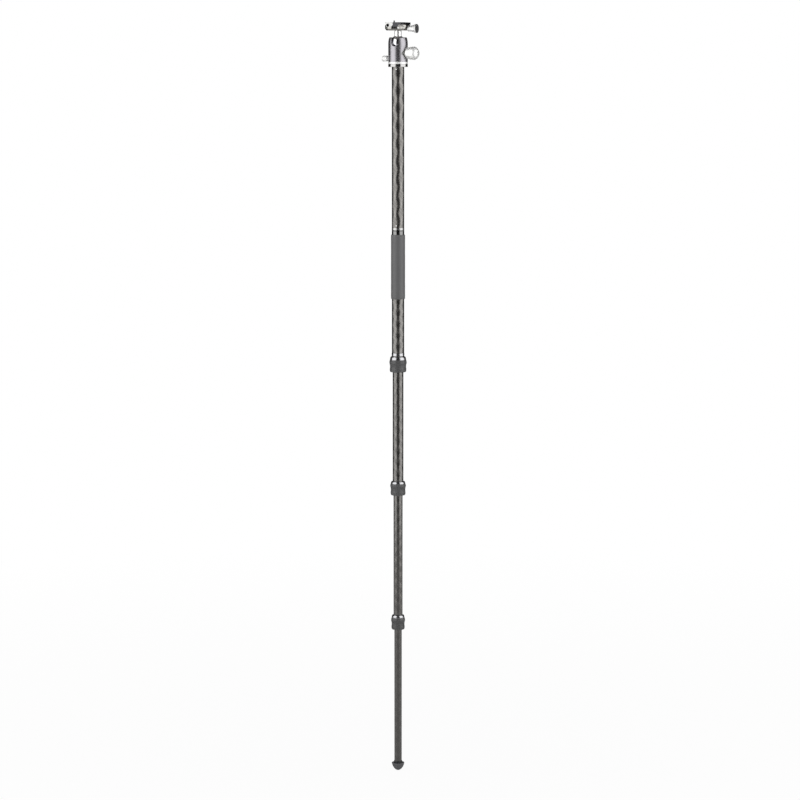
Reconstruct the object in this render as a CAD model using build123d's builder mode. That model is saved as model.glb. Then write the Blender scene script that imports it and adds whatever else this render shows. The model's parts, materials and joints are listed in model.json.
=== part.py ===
from build123d import *

import os
from math import cos, radians, sin, sqrt, tan

os.makedirs("parts", exist_ok=True)

# A carbon monopod made of a travel tripod's own pieces: one leg of four telescoping tubes
# with three twist locks, the centre column screwed on top of it, and a ball head.
# Millimetres, +Z up. The origin is the tip of the foot, on the tubes' axis.
# The head's two main knobs point along +X, its pan knob along -X, its drop notch along -Y.

# Leg tubes
largest_tube = 25.0
tube_step = 3.2
tube_wall = 1.2
running_gap = 0.05

# Leg heights, from the floor up
floor_to_lock_3 = 296.5
lock_3_to_lock_2 = 279.0
lock_2_to_lock_1 = 253.0
lock_1_height = 32.0
lock_2_height = 29.0
lock_3_height = 30.5
lock_1_to_foam = 116.5
foam_length = 130.5
leg_top_overlap = 16.5
guide_overlap = 27.5
travel_margin = 5.0

# Twist locks
grip_height = 19.3
grip_swell = 5.05
grip_waist = 3.8
grip_bulge = 4.2
grip_flutes = 20
bush_wall = 1.9
sleeve_wall = 0.9
tube_seat_depth = 14.0
bush_depth = 22.0

# Foot
foot_radius = 12.9
foot_lip_height = 15.8
foot_flat_radius = 3.0
foot_lip_width = 1.5
foot_core_radius = 9.4
foot_core_top = 19.5

# Foam grip and the joint between leg and column
foam_wall = 1.8
collar_height = 9.5
collar_ribs = 28
bottom_ring_height = 4.0
joint_spigot = 20.0
leg_spigot = 10.5
screw_radius = 4.76
column_exposed = 322.5
pin_radius = 1.1
pin_azimuth = 6.0
pin_inset = 4.7

# Platform under the head
platform_radius = 19.6
platform_height = 6.0

# Ball head housing and panning base
housing_radius = 19.5
rim_radius = 17.9
housing_height = 48.5
shoulder_drop = 14.3
pan_ring_height = 4.3
pan_spigot_radius = 12.0
pan_spigot_height = 9.3
pan_knob_height = 6.5
ball_radius = 15.0
ball_depth = 10.8
ball_gap = 0.05
retainer_radius = 16.4
lip_radius = 11.8
notch_half_width = 7.3
piston_radius = 10.9
recess_apex = 12.5
recess_angle = 60.0
main_knob_height = 16.9
neck_radius = 6.9
neck_length = 11.4

# Main knob
knob_inner_x = 17.2
knob_inner_radius = 6.4
knob_rim_x = 35.9
knob_rim_radius = 13.2
band_length = 2.4
dial_length = 4.4
dial_radius = 10.6
dial_end_radius = 6.2
shaft_radius = 4.0
thread_radius = 3.0

# Pan knob
pan_knob_radius = 6.0
pan_knob_inner_x = 22.0
pan_knob_outer_x = 33.3
pan_screw_radius = 2.45

# Quick-release clamp and its plate
clamp_floor = 7.1
clamp_left_x = 23.5
clamp_half_length = 16.0
jaw_outer_x = 21.6
jaw_split_x = 15.9
jaw_top_drop = 0.3
jaw_corner = 2.4
dovetail_half_width = 19.0
dovetail_land = 0.9
dovetail_flank = 2.4
dovetail_neck = 0.8
plate_side_gap = 0.25
plate_half_length = 22.5
plate_half_width = 19.2
plate_rest_gap = 0.1
platform_thickness = 3.4
pad_thickness = 1.4
plate_corner = 4.0
relief_half_width = 6.5
relief_depth = 2.0
clamp_knob_inner_x = 22.4
clamp_knob_inner_radius = 5.8
clamp_knob_outer_x = 40.0
clamp_knob_radius = 8.5
clamp_cap_length = 1.7
spindle_radius = 2.45
guide_pin_radius = 1.5
guide_pin_spread = 11.0
camera_screw_radius = 3.175
camera_screw_head_radius = 5.4
camera_screw_lift = 4.9
camera_slot_travel = 8.0
twist_pin_radius = 1.4
twist_pin_y = 20.0
twist_pin_height = 3.6
level_radius = 2.4

# Everything below follows from the values above.
tube_radius = [(largest_tube - tube_step * step) / 2 for step in range(4)]
tube_bore = [radius - tube_wall for radius in tube_radius]
lock_height = [lock_1_height, lock_2_height, lock_3_height]
lock_bottom = [
    floor_to_lock_3 + lock_3_to_lock_2 + lock_2_to_lock_1,
    floor_to_lock_3 + lock_3_to_lock_2,
    floor_to_lock_3,
]
lock_top = [bottom + height for bottom, height in zip(lock_bottom, lock_height)]
foam_bottom = lock_top[0] + lock_1_to_foam
foam_top = foam_bottom + foam_length
column_joint = foam_top + collar_height
column_bottom = column_joint + bottom_ring_height
column_top = column_bottom + column_exposed
platform_top = column_top + platform_height
pan_top = platform_top + pan_ring_height
housing_top = pan_top + housing_height
ball_z = housing_top - ball_depth
neck_top = ball_z + sqrt(ball_radius**2 - neck_radius**2) + neck_length - 0.3
main_knob_z = pan_top + main_knob_height
pan_knob_z = pan_top + pan_knob_height

foot_socket_floor = foot_lip_height - 6.8
tube_low = [lock_top[0] - tube_seat_depth, lock_top[1] - tube_seat_depth, lock_top[2] - tube_seat_depth]
tube_low.append(foot_socket_floor)
tube_high = [foam_top, lock_top[0] + leg_top_overlap]
tube_high.append(lock_top[1] + guide_overlap)
tube_high.append(lock_top[2] + guide_overlap)

pan_axis = Axis((0, 0, pan_knob_z), (1, 0, 0))
main_axis = Axis((0, 0, main_knob_z), (1, 0, 0))


def turn(points, axis=Axis.Z, mode=Mode.ADD):
    """Turn a closed outline of (x, z) points about an axis in the XZ plane."""
    with BuildSketch(Plane.XZ) as outline:
        with BuildLine():
            Polyline(*points, close=True)
        make_face()
    revolve(outline.sketch, axis=axis, mode=mode)


def sleeve(outer, inner, low, high, mode=Mode.ADD):
    """A plain tube on the Z axis between two heights."""
    with BuildSketch(Plane.XY.offset(low)) as ring:
        Circle(outer)
        if inner > 0:
            Circle(inner, mode=Mode.SUBTRACT)
    extrude(ring.sketch, amount=high - low, mode=mode)


def rod(radius, start, end, y, z, mode=Mode.ADD):
    """A round bar or hole along X."""
    with BuildSketch(Plane.YZ.offset(start)) as disc:
        with Locations((y, z)):
            Circle(radius)
    extrude(disc.sketch, amount=end - start, mode=mode)


def pin_row(radius, inner, outer, height, mode=Mode.ADD):
    """Three radial pins, or their holes, spaced round the column at one height."""
    for spot in range(3):
        turned = pin_azimuth + 120 * spot
        outwards = Vector(sin(radians(turned)), -cos(radians(turned)), 0)
        side = Plane(origin=outwards * inner + Vector(0, 0, height), z_dir=outwards)
        with BuildSketch(side) as disc:
            Circle(radius)
        extrude(disc.sketch, amount=outer - inner, mode=mode)


# Tubes. Each one slides in the tube above it.
for number in range(1, 5):
    radius = tube_radius[number - 1]
    with BuildPart() as leg_tube:
        sleeve(radius, tube_bore[number - 1], tube_low[number - 1], tube_high[number - 1])
    leg_tube.part.label = f"leg_{number}_tube"
    export_step(leg_tube.part, f"parts/leg_{number}_tube.step")

# Guides bonded round the top of each sliding tube: two half sleeves that run in the bore above.
for number in range(2, 5):
    radius = tube_radius[number - 1]
    guide_top = tube_high[number - 1] - 1.5
    guide_low = guide_top - 12.0
    with BuildPart() as leg_guides:
        sleeve(tube_bore[number - 2] - running_gap, radius, guide_low, guide_top)
        with Locations((0, 0, (guide_low + guide_top) / 2)):
            Box(2.5, largest_tube, guide_top - guide_low, mode=Mode.SUBTRACT)
    leg_guides.part.label = f"leg_{number}_guides"
    export_step(leg_guides.part, f"parts/leg_{number}_guides.step")

# Twist locks: a bush bonded to the upper tube, a split collet round the lower tube,
# and a sleeve with a rubber grip that turns on the bush and squeezes the collet.
for number in range(1, 4):
    upper = tube_radius[number - 1]
    lower = tube_radius[number]
    low = lock_bottom[number - 1]
    high = lock_top[number - 1]
    bush_low = high - bush_depth
    bush_radius = upper + bush_wall
    cone_low = high - 0.55 * (high - low - grip_height)
    swell_z = low + grip_height
    collet_low = low + 3.6
    collet_flange = upper
    collet_tip = lower + 0.9
    sleeve_radius = bush_radius + running_gap + sleeve_wall

    with BuildPart() as lock_bush:
        turn(
            [
                (upper, bush_low),
                (bush_radius, bush_low),
                (bush_radius, high - 5.0),
                (bush_radius - 0.8, high - 4.2),
                (upper, high - 4.2),
            ]
        )
    lock_bush.part.label = f"lock_{number}_bush"
    export_step(lock_bush.part, f"parts/lock_{number}_bush.step")

    with BuildPart() as lock_collet:
        turn(
            [
                (lower + running_gap, collet_low),
                (collet_tip, collet_low),
                (collet_flange, bush_low - 0.2),
                (collet_flange, high - tube_seat_depth),
                (lower + running_gap, high - tube_seat_depth),
            ]
        )
        slot_height = bush_low - collet_low
        with PolarLocations(upper, 4):
            with Locations((0, 0, collet_low + slot_height / 2)):
                Box(2 * upper - 2 * lower + 4, 1.2, slot_height, mode=Mode.SUBTRACT)
    lock_collet.part.label = f"lock_{number}_collet"
    export_step(lock_collet.part, f"parts/lock_{number}_collet.step")

    with BuildPart() as lock_sleeve:
        turn(
            [
                (lower + 0.25, low),
                (sleeve_radius - 0.6, low),
                (sleeve_radius, low + 0.6),
                (sleeve_radius, cone_low),
                (upper + 3.75, cone_low),
                (upper + 3.3, cone_low + 0.9),
                (upper + 0.9, high - 0.6),
                (upper + 0.6, high),
                (upper + 0.12, high),
                (upper + 0.12, high - 3.6),
                (bush_radius + running_gap, high - 3.6),
                (bush_radius + running_gap, bush_low - 0.8),
                (collet_flange + 0.3, bush_low - 0.8),
                (collet_tip + 0.3, collet_low - 0.3),
                (lower + 0.25, collet_low - 0.3),
            ]
        )
    lock_sleeve.part.label = f"lock_{number}_sleeve"
    export_step(lock_sleeve.part, f"parts/lock_{number}_sleeve.step")

    with BuildPart() as flute:
        with BuildSketch(Plane.XZ) as flute_outline:
            with BuildLine():
                ThreePointArc(
                    (upper + grip_bulge, cone_low - 1.2),
                    (upper + grip_swell - 0.55, swell_z),
                    (upper + grip_bulge - 0.4, swell_z - 3.9),
                )
                ThreePointArc(
                    (upper + grip_bulge - 0.4, swell_z - 3.9),
                    (upper + grip_waist - 0.5, swell_z - 8.2),
                    (upper + grip_bulge - 0.8, swell_z - 12.0),
                )
                Line(
                    (upper + grip_bulge - 0.8, swell_z - 12.0),
                    (upper + grip_bulge - 0.6, low + 2.6),
                )
                Polyline(
                    (upper + grip_bulge - 0.6, low + 2.6),
                    (upper + grip_swell + 2, low + 2.6),
                    (upper + grip_swell + 2, cone_low - 1.2),
                    (upper + grip_bulge, cone_low - 1.2),
                )
            make_face()
        revolve(axis=Axis.Z, revolution_arc=180 / grip_flutes)

    with BuildPart() as lock_grip:
        with BuildSketch(Plane.XZ):
            with BuildLine():
                ThreePointArc(
                    (upper + grip_bulge - 0.3, cone_low),
                    (upper + grip_swell, swell_z),
                    (upper + grip_bulge, swell_z - 3.9),
                )
                ThreePointArc(
                    (upper + grip_bulge, swell_z - 3.9),
                    (upper + grip_waist, swell_z - 8.2),
                    (upper + grip_bulge - 0.2, swell_z - 12.0),
                )
                ThreePointArc(
                    (upper + grip_bulge - 0.2, swell_z - 12.0),
                    (upper + grip_bulge, swell_z - 14.4),
                    (sleeve_radius + 0.2, low),
                )
                Polyline(
                    (sleeve_radius + 0.2, low),
                    (sleeve_radius, low + 0.6),
                    (sleeve_radius, cone_low),
                    (upper + grip_bulge - 0.3, cone_low),
                )
            make_face()
        revolve(axis=Axis.Z)
        with PolarLocations(0, grip_flutes):
            add(flute.part, mode=Mode.SUBTRACT)
    lock_grip.part.label = f"lock_{number}_grip"
    export_step(lock_grip.part, f"parts/lock_{number}_grip.step")

# Foot: a rubber cup screwed to a plug in the end of the thinnest tube.
foot_lip_inner = foot_radius - foot_lip_width
cup_floor = foot_socket_floor - 2.0
with BuildPart() as foot_rubber:
    with BuildSketch(Plane.XZ):
        with BuildLine():
            Line((0, 0), (foot_flat_radius, 0))
            ThreePointArc(
                (foot_flat_radius, 0),
                (foot_radius * 0.74, foot_lip_height * 0.37),
                (foot_radius, foot_lip_height - 1.4),
            )
            ThreePointArc(
                (foot_radius, foot_lip_height - 1.4),
                (foot_radius - foot_lip_width / 2, foot_lip_height),
                (foot_lip_inner, foot_lip_height - 1.4),
            )
            Polyline(
                (foot_lip_inner, foot_lip_height - 1.4),
                (foot_core_radius + 0.5, cup_floor),
                (thread_radius, cup_floor),
                (thread_radius, cup_floor - 3.0),
                (0, cup_floor - 3.0),
                (0, 0),
            )
        make_face()
    revolve(axis=Axis.Z)
    for groove_z, groove_radius in ((foot_lip_height * 0.42, 10.2), (foot_lip_height * 0.64, 12.0)):
        turn(
            [
                (groove_radius - 0.7, groove_z),
                (groove_radius + 1.2, groove_z + 0.7),
                (groove_radius + 1.2, groove_z - 0.9),
            ],
            mode=Mode.SUBTRACT,
        )
foot_rubber.part.label = "foot_rubber"
export_step(foot_rubber.part, "parts/foot_rubber.step")

with BuildPart() as foot_core:
    turn(
        [
            (0, cup_floor - 3.0),
            (thread_radius, cup_floor - 3.0),
            (thread_radius, cup_floor),
            (foot_core_radius, cup_floor),
            (foot_core_radius, foot_core_top - 1.2),
            (foot_core_radius - 1.2, foot_core_top),
            (tube_radius[3], foot_core_top),
            (tube_radius[3], foot_socket_floor),
            (thread_radius, foot_socket_floor),
            (thread_radius, foot_socket_floor + 7.0),
            (0, foot_socket_floor + 7.0),
        ]
    )
foot_core.part.label = "foot_core"
export_step(foot_core.part, "parts/foot_core.step")

with BuildPart() as leg_4_plug:
    sleeve(tube_bore[3], thread_radius, foot_socket_floor, foot_socket_floor + 14.0)
leg_4_plug.part.label = "leg_4_plug"
export_step(leg_4_plug.part, "parts/leg_4_plug.step")

# Foam grip on the upper tube.
foam_radius = tube_radius[0] + foam_wall
with BuildPart() as foam_grip:
    sleeve(foam_radius, tube_radius[0], foam_bottom, foam_top)
    outer_ends = foam_grip.edges().filter_by(GeomType.CIRCLE).group_by(SortBy.RADIUS)[-1]
    fillet(outer_ends, foam_wall * 0.6)
foam_grip.part.label = "foam_grip"
export_step(foam_grip.part, "parts/foam_grip.step")

# Top of the leg: a ribbed collar with a stud that screws into the column.
with BuildPart() as leg_top_fitting:
    turn(
        [
            (screw_radius, foam_top - leg_spigot),
            (tube_bore[0], foam_top - leg_spigot),
            (tube_bore[0], foam_top),
            (tube_radius[0] + 0.1, foam_top),
            (tube_radius[0] + 0.1, column_joint),
            (screw_radius, column_joint),
        ]
    )
    with PolarLocations(tube_radius[0] + 0.45, collar_ribs):
        with Locations((0, 0, foam_top + collar_height / 2)):
            Cylinder(0.75, collar_height - 2.0, mode=Mode.SUBTRACT)
leg_top_fitting.part.label = "leg_top_fitting"
export_step(leg_top_fitting.part, "parts/leg_top_fitting.step")

stud_low = foam_top - leg_spigot + 2.0
stud_high = column_joint + 14.0
with BuildPart() as leg_stud:
    sleeve(screw_radius, 0, stud_low, stud_high)
    chamfer(leg_stud.edges().group_by(Axis.Z)[-1], 0.8)
leg_stud.part.label = "leg_stud"
export_step(leg_stud.part, "parts/leg_stud.step")

# Column: a tube with a fitting pinned in each end.
low_pins = column_bottom + pin_inset
high_pins = column_top - pin_inset
with BuildPart() as column_bottom_ring:
    turn(
        [
            (screw_radius, column_joint),
            (tube_radius[0] - 0.2, column_joint),
            (tube_radius[0] + 0.1, column_joint + 0.3),
            (tube_radius[0] + 0.1, column_bottom),
            (tube_bore[0], column_bottom),
            (tube_bore[0], column_bottom + joint_spigot),
            (0, column_bottom + joint_spigot),
            (0, stud_high + 1.0),
            (screw_radius, stud_high + 1.0),
        ]
    )
    pin_row(pin_radius, tube_bore[0] - 2.4, tube_bore[0] + 1, low_pins, mode=Mode.SUBTRACT)
column_bottom_ring.part.label = "column_bottom_ring"
export_step(column_bottom_ring.part, "parts/column_bottom_ring.step")

with BuildPart() as column_tube:
    sleeve(tube_radius[0], tube_bore[0], column_bottom, column_top)
    for height in (low_pins, high_pins):
        pin_row(pin_radius, tube_bore[0] - 1, tube_radius[0] + 1, height, mode=Mode.SUBTRACT)
column_tube.part.label = "column_tube"
export_step(column_tube.part, "parts/column_tube.step")

with BuildPart() as column_pins:
    for height in (low_pins, high_pins):
        pin_row(pin_radius, tube_bore[0] - 2.4, tube_radius[0] + 0.1, height)
column_pins.part.label = "column_pins"
export_step(column_pins.part, "parts/column_pins.step")

head_stud_low = column_top - 10.0
head_stud_high = pan_top + 6.0
with BuildPart() as column_platform:
    turn(
        [
            (screw_radius, column_top - joint_spigot),
            (tube_bore[0], column_top - joint_spigot),
            (tube_bore[0], column_top),
            (platform_radius - 0.5, column_top),
            (platform_radius, column_top + 0.5),
            (platform_radius, platform_top - 0.4),
            (platform_radius - 0.4, platform_top),
            (screw_radius, platform_top),
        ]
    )
    pin_row(pin_radius, tube_bore[0] - 2.4, tube_bore[0] + 1, high_pins, mode=Mode.SUBTRACT)
column_platform.part.label = "column_platform"
export_step(column_platform.part, "parts/column_platform.step")

with BuildPart() as head_stud:
    sleeve(screw_radius, 0, head_stud_low, head_stud_high)
    chamfer(head_stud.edges().group_by(Axis.Z)[-1], 0.8)
head_stud.part.label = "head_stud"
export_step(head_stud.part, "parts/head_stud.step")

# Panning base: the silver ring that the housing turns on.
pan_spigot_top = pan_top + pan_spigot_height
pan_groove = 1.3
with BuildPart() as pan_base:
    turn(
        [
            (screw_radius, platform_top),
            (housing_radius - 0.3, platform_top),
            (housing_radius, platform_top + 0.3),
            (housing_radius, pan_top - 0.3),
            (housing_radius - 0.3, pan_top),
            (pan_spigot_radius, pan_top),
            (pan_spigot_radius, pan_knob_z - pan_groove),
            (pan_spigot_radius - pan_groove, pan_knob_z),
            (pan_spigot_radius, pan_knob_z + pan_groove),
            (pan_spigot_radius, pan_spigot_top),
            (0, pan_spigot_top),
            (0, head_stud_high + 0.5),
            (screw_radius, head_stud_high + 0.5),
        ]
    )
pan_base.part.label = "pan_base"
export_step(pan_base.part, "parts/pan_base.step")

washer_inner = pan_spigot_radius + 1.2
washer_outer = housing_radius - 1.2
washer_thickness = 0.6
with BuildPart() as pan_washer:
    sleeve(washer_outer, washer_inner, pan_top, pan_top + washer_thickness)
pan_washer.part.label = "pan_washer"
export_step(pan_washer.part, "parts/pan_washer.step")

# Housing: a turned shell with a ball pocket, a drop notch and a recess for the main knob.
housing_low = pan_top + running_gap
pan_bore_top = pan_spigot_top + 0.4
piston_floor = pan_bore_top + 1.8
piston_bore = piston_radius + 0.1
pocket_radius = ball_radius + 0.35
pocket_low = ball_z - sqrt(pocket_radius**2 - piston_bore**2)
bushing_radius = 5.5
slope = tan(radians(recess_angle))
far = 2 * housing_radius
with BuildPart() as head_housing:
    with BuildSketch(Plane.XZ):
        with BuildLine():
            Line((0, housing_low), (housing_radius, housing_low))
            Line((housing_radius, housing_low), (housing_radius, housing_top - shoulder_drop))
            ThreePointArc(
                (housing_radius, housing_top - shoulder_drop),
                (housing_radius - 0.35, housing_top - 0.5 * shoulder_drop),
                (rim_radius, housing_top - 1.2),
            )
            Line((rim_radius, housing_top - 1.2), (rim_radius - 0.9, housing_top))
            Line((rim_radius - 0.9, housing_top), (0, housing_top))
            Line((0, housing_top), (0, housing_low))
        make_face()
    revolve(axis=Axis.Z)
    sleeve(pan_spigot_radius + running_gap, 0, housing_low - 1, pan_bore_top, mode=Mode.SUBTRACT)
    sleeve(washer_outer + 0.1, 0, housing_low - 1, pan_top + washer_thickness + 0.05, mode=Mode.SUBTRACT)
    with BuildSketch(Plane.XZ):
        with BuildLine():
            Polyline(
                (0, piston_floor),
                (piston_bore, piston_floor),
                (piston_bore, pocket_low),
            )
            ThreePointArc(
                (piston_bore, pocket_low),
                (pocket_radius * cos(radians(20)), ball_z - pocket_radius * sin(radians(20))),
                (pocket_radius, ball_z),
            )
            Polyline(
                (pocket_radius, ball_z),
                (retainer_radius, ball_z),
                (retainer_radius, housing_top + 1),
                (0, housing_top + 1),
                (0, piston_floor),
            )
        make_face()
    revolve(axis=Axis.Z, mode=Mode.SUBTRACT)
    with BuildSketch(Plane.XZ.offset(8)) as notch:
        with BuildLine():
            Polyline(
                (notch_half_width, ball_z),
                (notch_half_width, housing_top + 1),
                (-notch_half_width, housing_top + 1),
                (-notch_half_width, ball_z),
            )
            ThreePointArc(
                (-notch_half_width, ball_z),
                (0, ball_z - notch_half_width),
                (notch_half_width, ball_z),
            )
        make_face()
    extrude(amount=far, mode=Mode.SUBTRACT)
    with BuildSketch(Plane.XZ):
        with BuildLine():
            Polyline(
                (recess_apex, main_knob_z),
                (far, main_knob_z + slope * (far - recess_apex)),
                (far, main_knob_z - slope * (far - recess_apex)),
                close=True,
            )
        make_face()
    extrude(amount=far, both=True, mode=Mode.SUBTRACT)
    rod(bushing_radius, 0.5 * piston_bore, recess_apex + bushing_radius, 0, main_knob_z, mode=Mode.SUBTRACT)
    rod(pan_screw_radius + running_gap, -far, -0.5 * far + 8, 0, pan_knob_z, mode=Mode.SUBTRACT)
head_housing.part.label = "head_housing"
export_step(head_housing.part, "parts/head_housing.step")

# Ring that holds the ball down in its pocket, open at the drop notch.
seat_radius = ball_radius + ball_gap
lip_z = ball_z + sqrt(seat_radius**2 - lip_radius**2)
with BuildPart() as ball_retainer:
    with BuildSketch(Plane.XZ):
        with BuildLine():
            ThreePointArc(
                (seat_radius, ball_z),
                (seat_radius * cos(radians(20)), ball_z + seat_radius * sin(radians(20))),
                (lip_radius, lip_z),
            )
            Polyline(
                (lip_radius, lip_z),
                (lip_radius + 1.6, housing_top - 0.3),
                (retainer_radius, housing_top - 0.3),
                (retainer_radius, ball_z),
                (seat_radius, ball_z),
            )
        make_face()
    revolve(axis=Axis.Z)
    with BuildSketch(Plane.XZ.offset(8)):
        with Locations((0, ball_z + ball_radius)):
            Rectangle(2 * notch_half_width, 2 * ball_radius + 1)
    extrude(amount=far, mode=Mode.SUBTRACT)
ball_retainer.part.label = "ball_retainer"
export_step(ball_retainer.part, "parts/ball_retainer.step")

# Seat under the ball. Its underside slopes down to +X, so a wedge drawn to +X lifts it.
wedge_slope = tan(radians(8))
seat_under = pan_bore_top + 11.8
shaft_collar_x = 9.4
shaft_collar_radius = 5.0
with BuildPart() as ball_seat:
    with BuildSketch(Plane.XZ):
        with BuildLine():
            Line((0, seat_under - 4), (piston_radius, seat_under - 4))
            Line(
                (piston_radius, seat_under - 4),
                (piston_radius, ball_z - sqrt(seat_radius**2 - piston_radius**2)),
            )
            ThreePointArc(
                (piston_radius, ball_z - sqrt(seat_radius**2 - piston_radius**2)),
                (0.6 * piston_radius, ball_z - sqrt(seat_radius**2 - (0.6 * piston_radius) ** 2)),
                (0, ball_z - seat_radius),
            )
            Line((0, ball_z - seat_radius), (0, seat_under - 4))
        make_face()
    revolve(axis=Axis.Z)
    sleeve(4.0, 0, seat_under - 5, ball_z, mode=Mode.SUBTRACT)
    with BuildSketch(Plane.XZ):
        with BuildLine():
            Polyline(
                (-far, seat_under + running_gap + wedge_slope * far),
                (far, seat_under + running_gap - wedge_slope * far),
                (far, seat_under - far),
                (-far, seat_under - far),
                close=True,
            )
        make_face()
    extrude(amount=far, both=True, mode=Mode.SUBTRACT)
    rod(shaft_collar_radius + 0.4, shaft_collar_x - 0.4, far, 0, main_knob_z, mode=Mode.SUBTRACT)
ball_seat.part.label = "ball_seat"
export_step(ball_seat.part, "parts/ball_seat.step")

# Wedge, drawn along X by the main knob's threaded shaft.
wedge_left = -7.6
wedge_right = 7.4
wedge_low = piston_floor + running_gap
with BuildPart() as lock_wedge:
    with BuildSketch(Plane.XZ):
        with BuildLine():
            Polyline(
                (wedge_left, wedge_low),
                (wedge_right, wedge_low),
                (wedge_right, seat_under - wedge_slope * wedge_right),
                (wedge_left, seat_under - wedge_slope * wedge_left),
                close=True,
            )
        make_face()
    extrude(amount=6, both=True)
    rod(thread_radius + running_gap, wedge_left - 1, wedge_right + 1, 0, main_knob_z, mode=Mode.SUBTRACT)
lock_wedge.part.label = "lock_wedge"
export_step(lock_wedge.part, "parts/lock_wedge.step")

# Main knob: bushing, shaft, knob body, rubber band and friction dial.
bushing_inner_x = sqrt(piston_bore**2 - bushing_radius**2)
with BuildPart() as main_knob_bushing:
    rod(bushing_radius, piston_bore, knob_inner_x - 0.4, 0, main_knob_z)
    rod(shaft_radius + running_gap, piston_bore - 2, knob_inner_x + 2, 0, main_knob_z, mode=Mode.SUBTRACT)
main_knob_bushing.part.label = "main_knob_bushing"
export_step(main_knob_bushing.part, "parts/main_knob_bushing.step")

knob_face_x = knob_rim_x + 1.1
band_end_x = knob_face_x + band_length
dial_start_x = band_end_x + 0.1
dial_end_x = dial_start_x + dial_length
shaft_end_x = dial_start_x - 1.0
with BuildPart() as main_knob_shaft:
    rod(thread_radius, wedge_left + 2, shaft_collar_x, 0, main_knob_z)
    rod(shaft_collar_radius, shaft_collar_x, piston_bore - 0.1, 0, main_knob_z)
    rod(shaft_radius, piston_bore - 0.1, shaft_end_x, 0, main_knob_z)
main_knob_shaft.part.label = "main_knob_shaft"
export_step(main_knob_shaft.part, "parts/main_knob_shaft.step")

with BuildPart() as main_knob:
    with BuildSketch(Plane.XZ):
        with BuildLine():
            Polyline(
                (knob_face_x, main_knob_z + shaft_radius),
                (knob_inner_x, main_knob_z + shaft_radius),
                (knob_inner_x, main_knob_z + knob_inner_radius),
                (knob_inner_x + 2.4, main_knob_z + knob_inner_radius),
            )
            ThreePointArc(
                (knob_inner_x + 2.4, main_knob_z + knob_inner_radius),
                (knob_inner_x + 0.6 * (knob_rim_x - knob_inner_x), main_knob_z + 9.6),
                (knob_rim_x - 1.4, main_knob_z + knob_rim_radius - 0.2),
            )
            Polyline(
                (knob_rim_x - 1.4, main_knob_z + knob_rim_radius - 0.2),
                (knob_rim_x, main_knob_z + knob_rim_radius),
                (knob_face_x, main_knob_z + knob_rim_radius - 0.8),
                (knob_face_x, main_knob_z + shaft_radius),
            )
        make_face()
    revolve(axis=main_axis)
main_knob.part.label = "main_knob"
export_step(main_knob.part, "parts/main_knob.step")

with BuildPart() as main_knob_band:
    turn(
        [
            (knob_face_x, main_knob_z + shaft_radius),
            (knob_face_x, main_knob_z + knob_rim_radius - 1.0),
            (band_end_x - 0.6, main_knob_z + knob_rim_radius - 1.4),
            (band_end_x, main_knob_z + knob_rim_radius - 2.2),
            (band_end_x, main_knob_z + shaft_radius),
        ],
        axis=main_axis,
    )
main_knob_band.part.label = "main_knob_band"
export_step(main_knob_band.part, "parts/main_knob_band.step")

with BuildPart() as friction_dial:
    turn(
        [
            (dial_start_x, main_knob_z),
            (dial_start_x, main_knob_z + dial_radius),
            (dial_start_x + 0.8, main_knob_z + dial_radius),
            (dial_end_x - 0.8, main_knob_z + dial_end_radius + 0.6),
            (dial_end_x, main_knob_z + dial_end_radius - 0.4),
            (dial_end_x, main_knob_z),
        ],
        axis=main_axis,
    )
    with BuildSketch(Plane.YZ.offset(dial_end_x)):
        with Locations((0, main_knob_z)):
            Rectangle(2 * dial_end_radius - 2.5, 1.4)
    extrude(amount=-0.9, mode=Mode.SUBTRACT)
friction_dial.part.label = "friction_dial"
export_step(friction_dial.part, "parts/friction_dial.step")

# Pan lock: a small knob whose screw presses a pad into the base's groove.
pad_back_x = -(pan_spigot_radius + 0.9)
with BuildPart() as pan_brake:
    turn(
        [
            (pad_back_x, pan_knob_z),
            (pad_back_x, pan_knob_z + pan_screw_radius - 0.2),
            (-pan_spigot_radius - 0.2, pan_knob_z + pan_screw_radius - 0.2),
            (-pan_spigot_radius - 0.2, pan_knob_z + pan_groove - 0.2),
            (-pan_spigot_radius + pan_groove - 0.4, pan_knob_z),
        ],
        axis=pan_axis,
    )
pan_brake.part.label = "pan_brake"
export_step(pan_brake.part, "parts/pan_brake.step")

with BuildPart() as pan_knob_screw:
    rod(pan_screw_radius, -pan_knob_outer_x + 3, pad_back_x - running_gap, 0, pan_knob_z)
pan_knob_screw.part.label = "pan_knob_screw"
export_step(pan_knob_screw.part, "parts/pan_knob_screw.step")

with BuildPart() as pan_knob:
    turn(
        [
            (-housing_radius - 0.3, pan_knob_z),
            (-housing_radius - 0.3, pan_knob_z + 3.6),
            (-pan_knob_inner_x, pan_knob_z + 4.2),
            (-pan_knob_inner_x - 0.8, pan_knob_z + pan_knob_radius - 0.3),
            (-pan_knob_outer_x + 0.8, pan_knob_z + pan_knob_radius),
            (-pan_knob_outer_x, pan_knob_z + pan_knob_radius - 0.8),
            (-pan_knob_outer_x, pan_knob_z),
        ],
        axis=pan_axis,
    )
    rod(pan_screw_radius, -pan_knob_outer_x + 3, 0, 0, pan_knob_z, mode=Mode.SUBTRACT)
    for count in range(12):
        turned = radians(30 * count)
        reach = pan_knob_radius + 0.5
        rod(
            0.9,
            -pan_knob_outer_x - 1,
            -pan_knob_inner_x - 1.4,
            reach * cos(turned),
            pan_knob_z + reach * sin(turned),
            mode=Mode.SUBTRACT,
        )
pan_knob.part.label = "pan_knob"
export_step(pan_knob.part, "parts/pan_knob.step")

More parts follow.
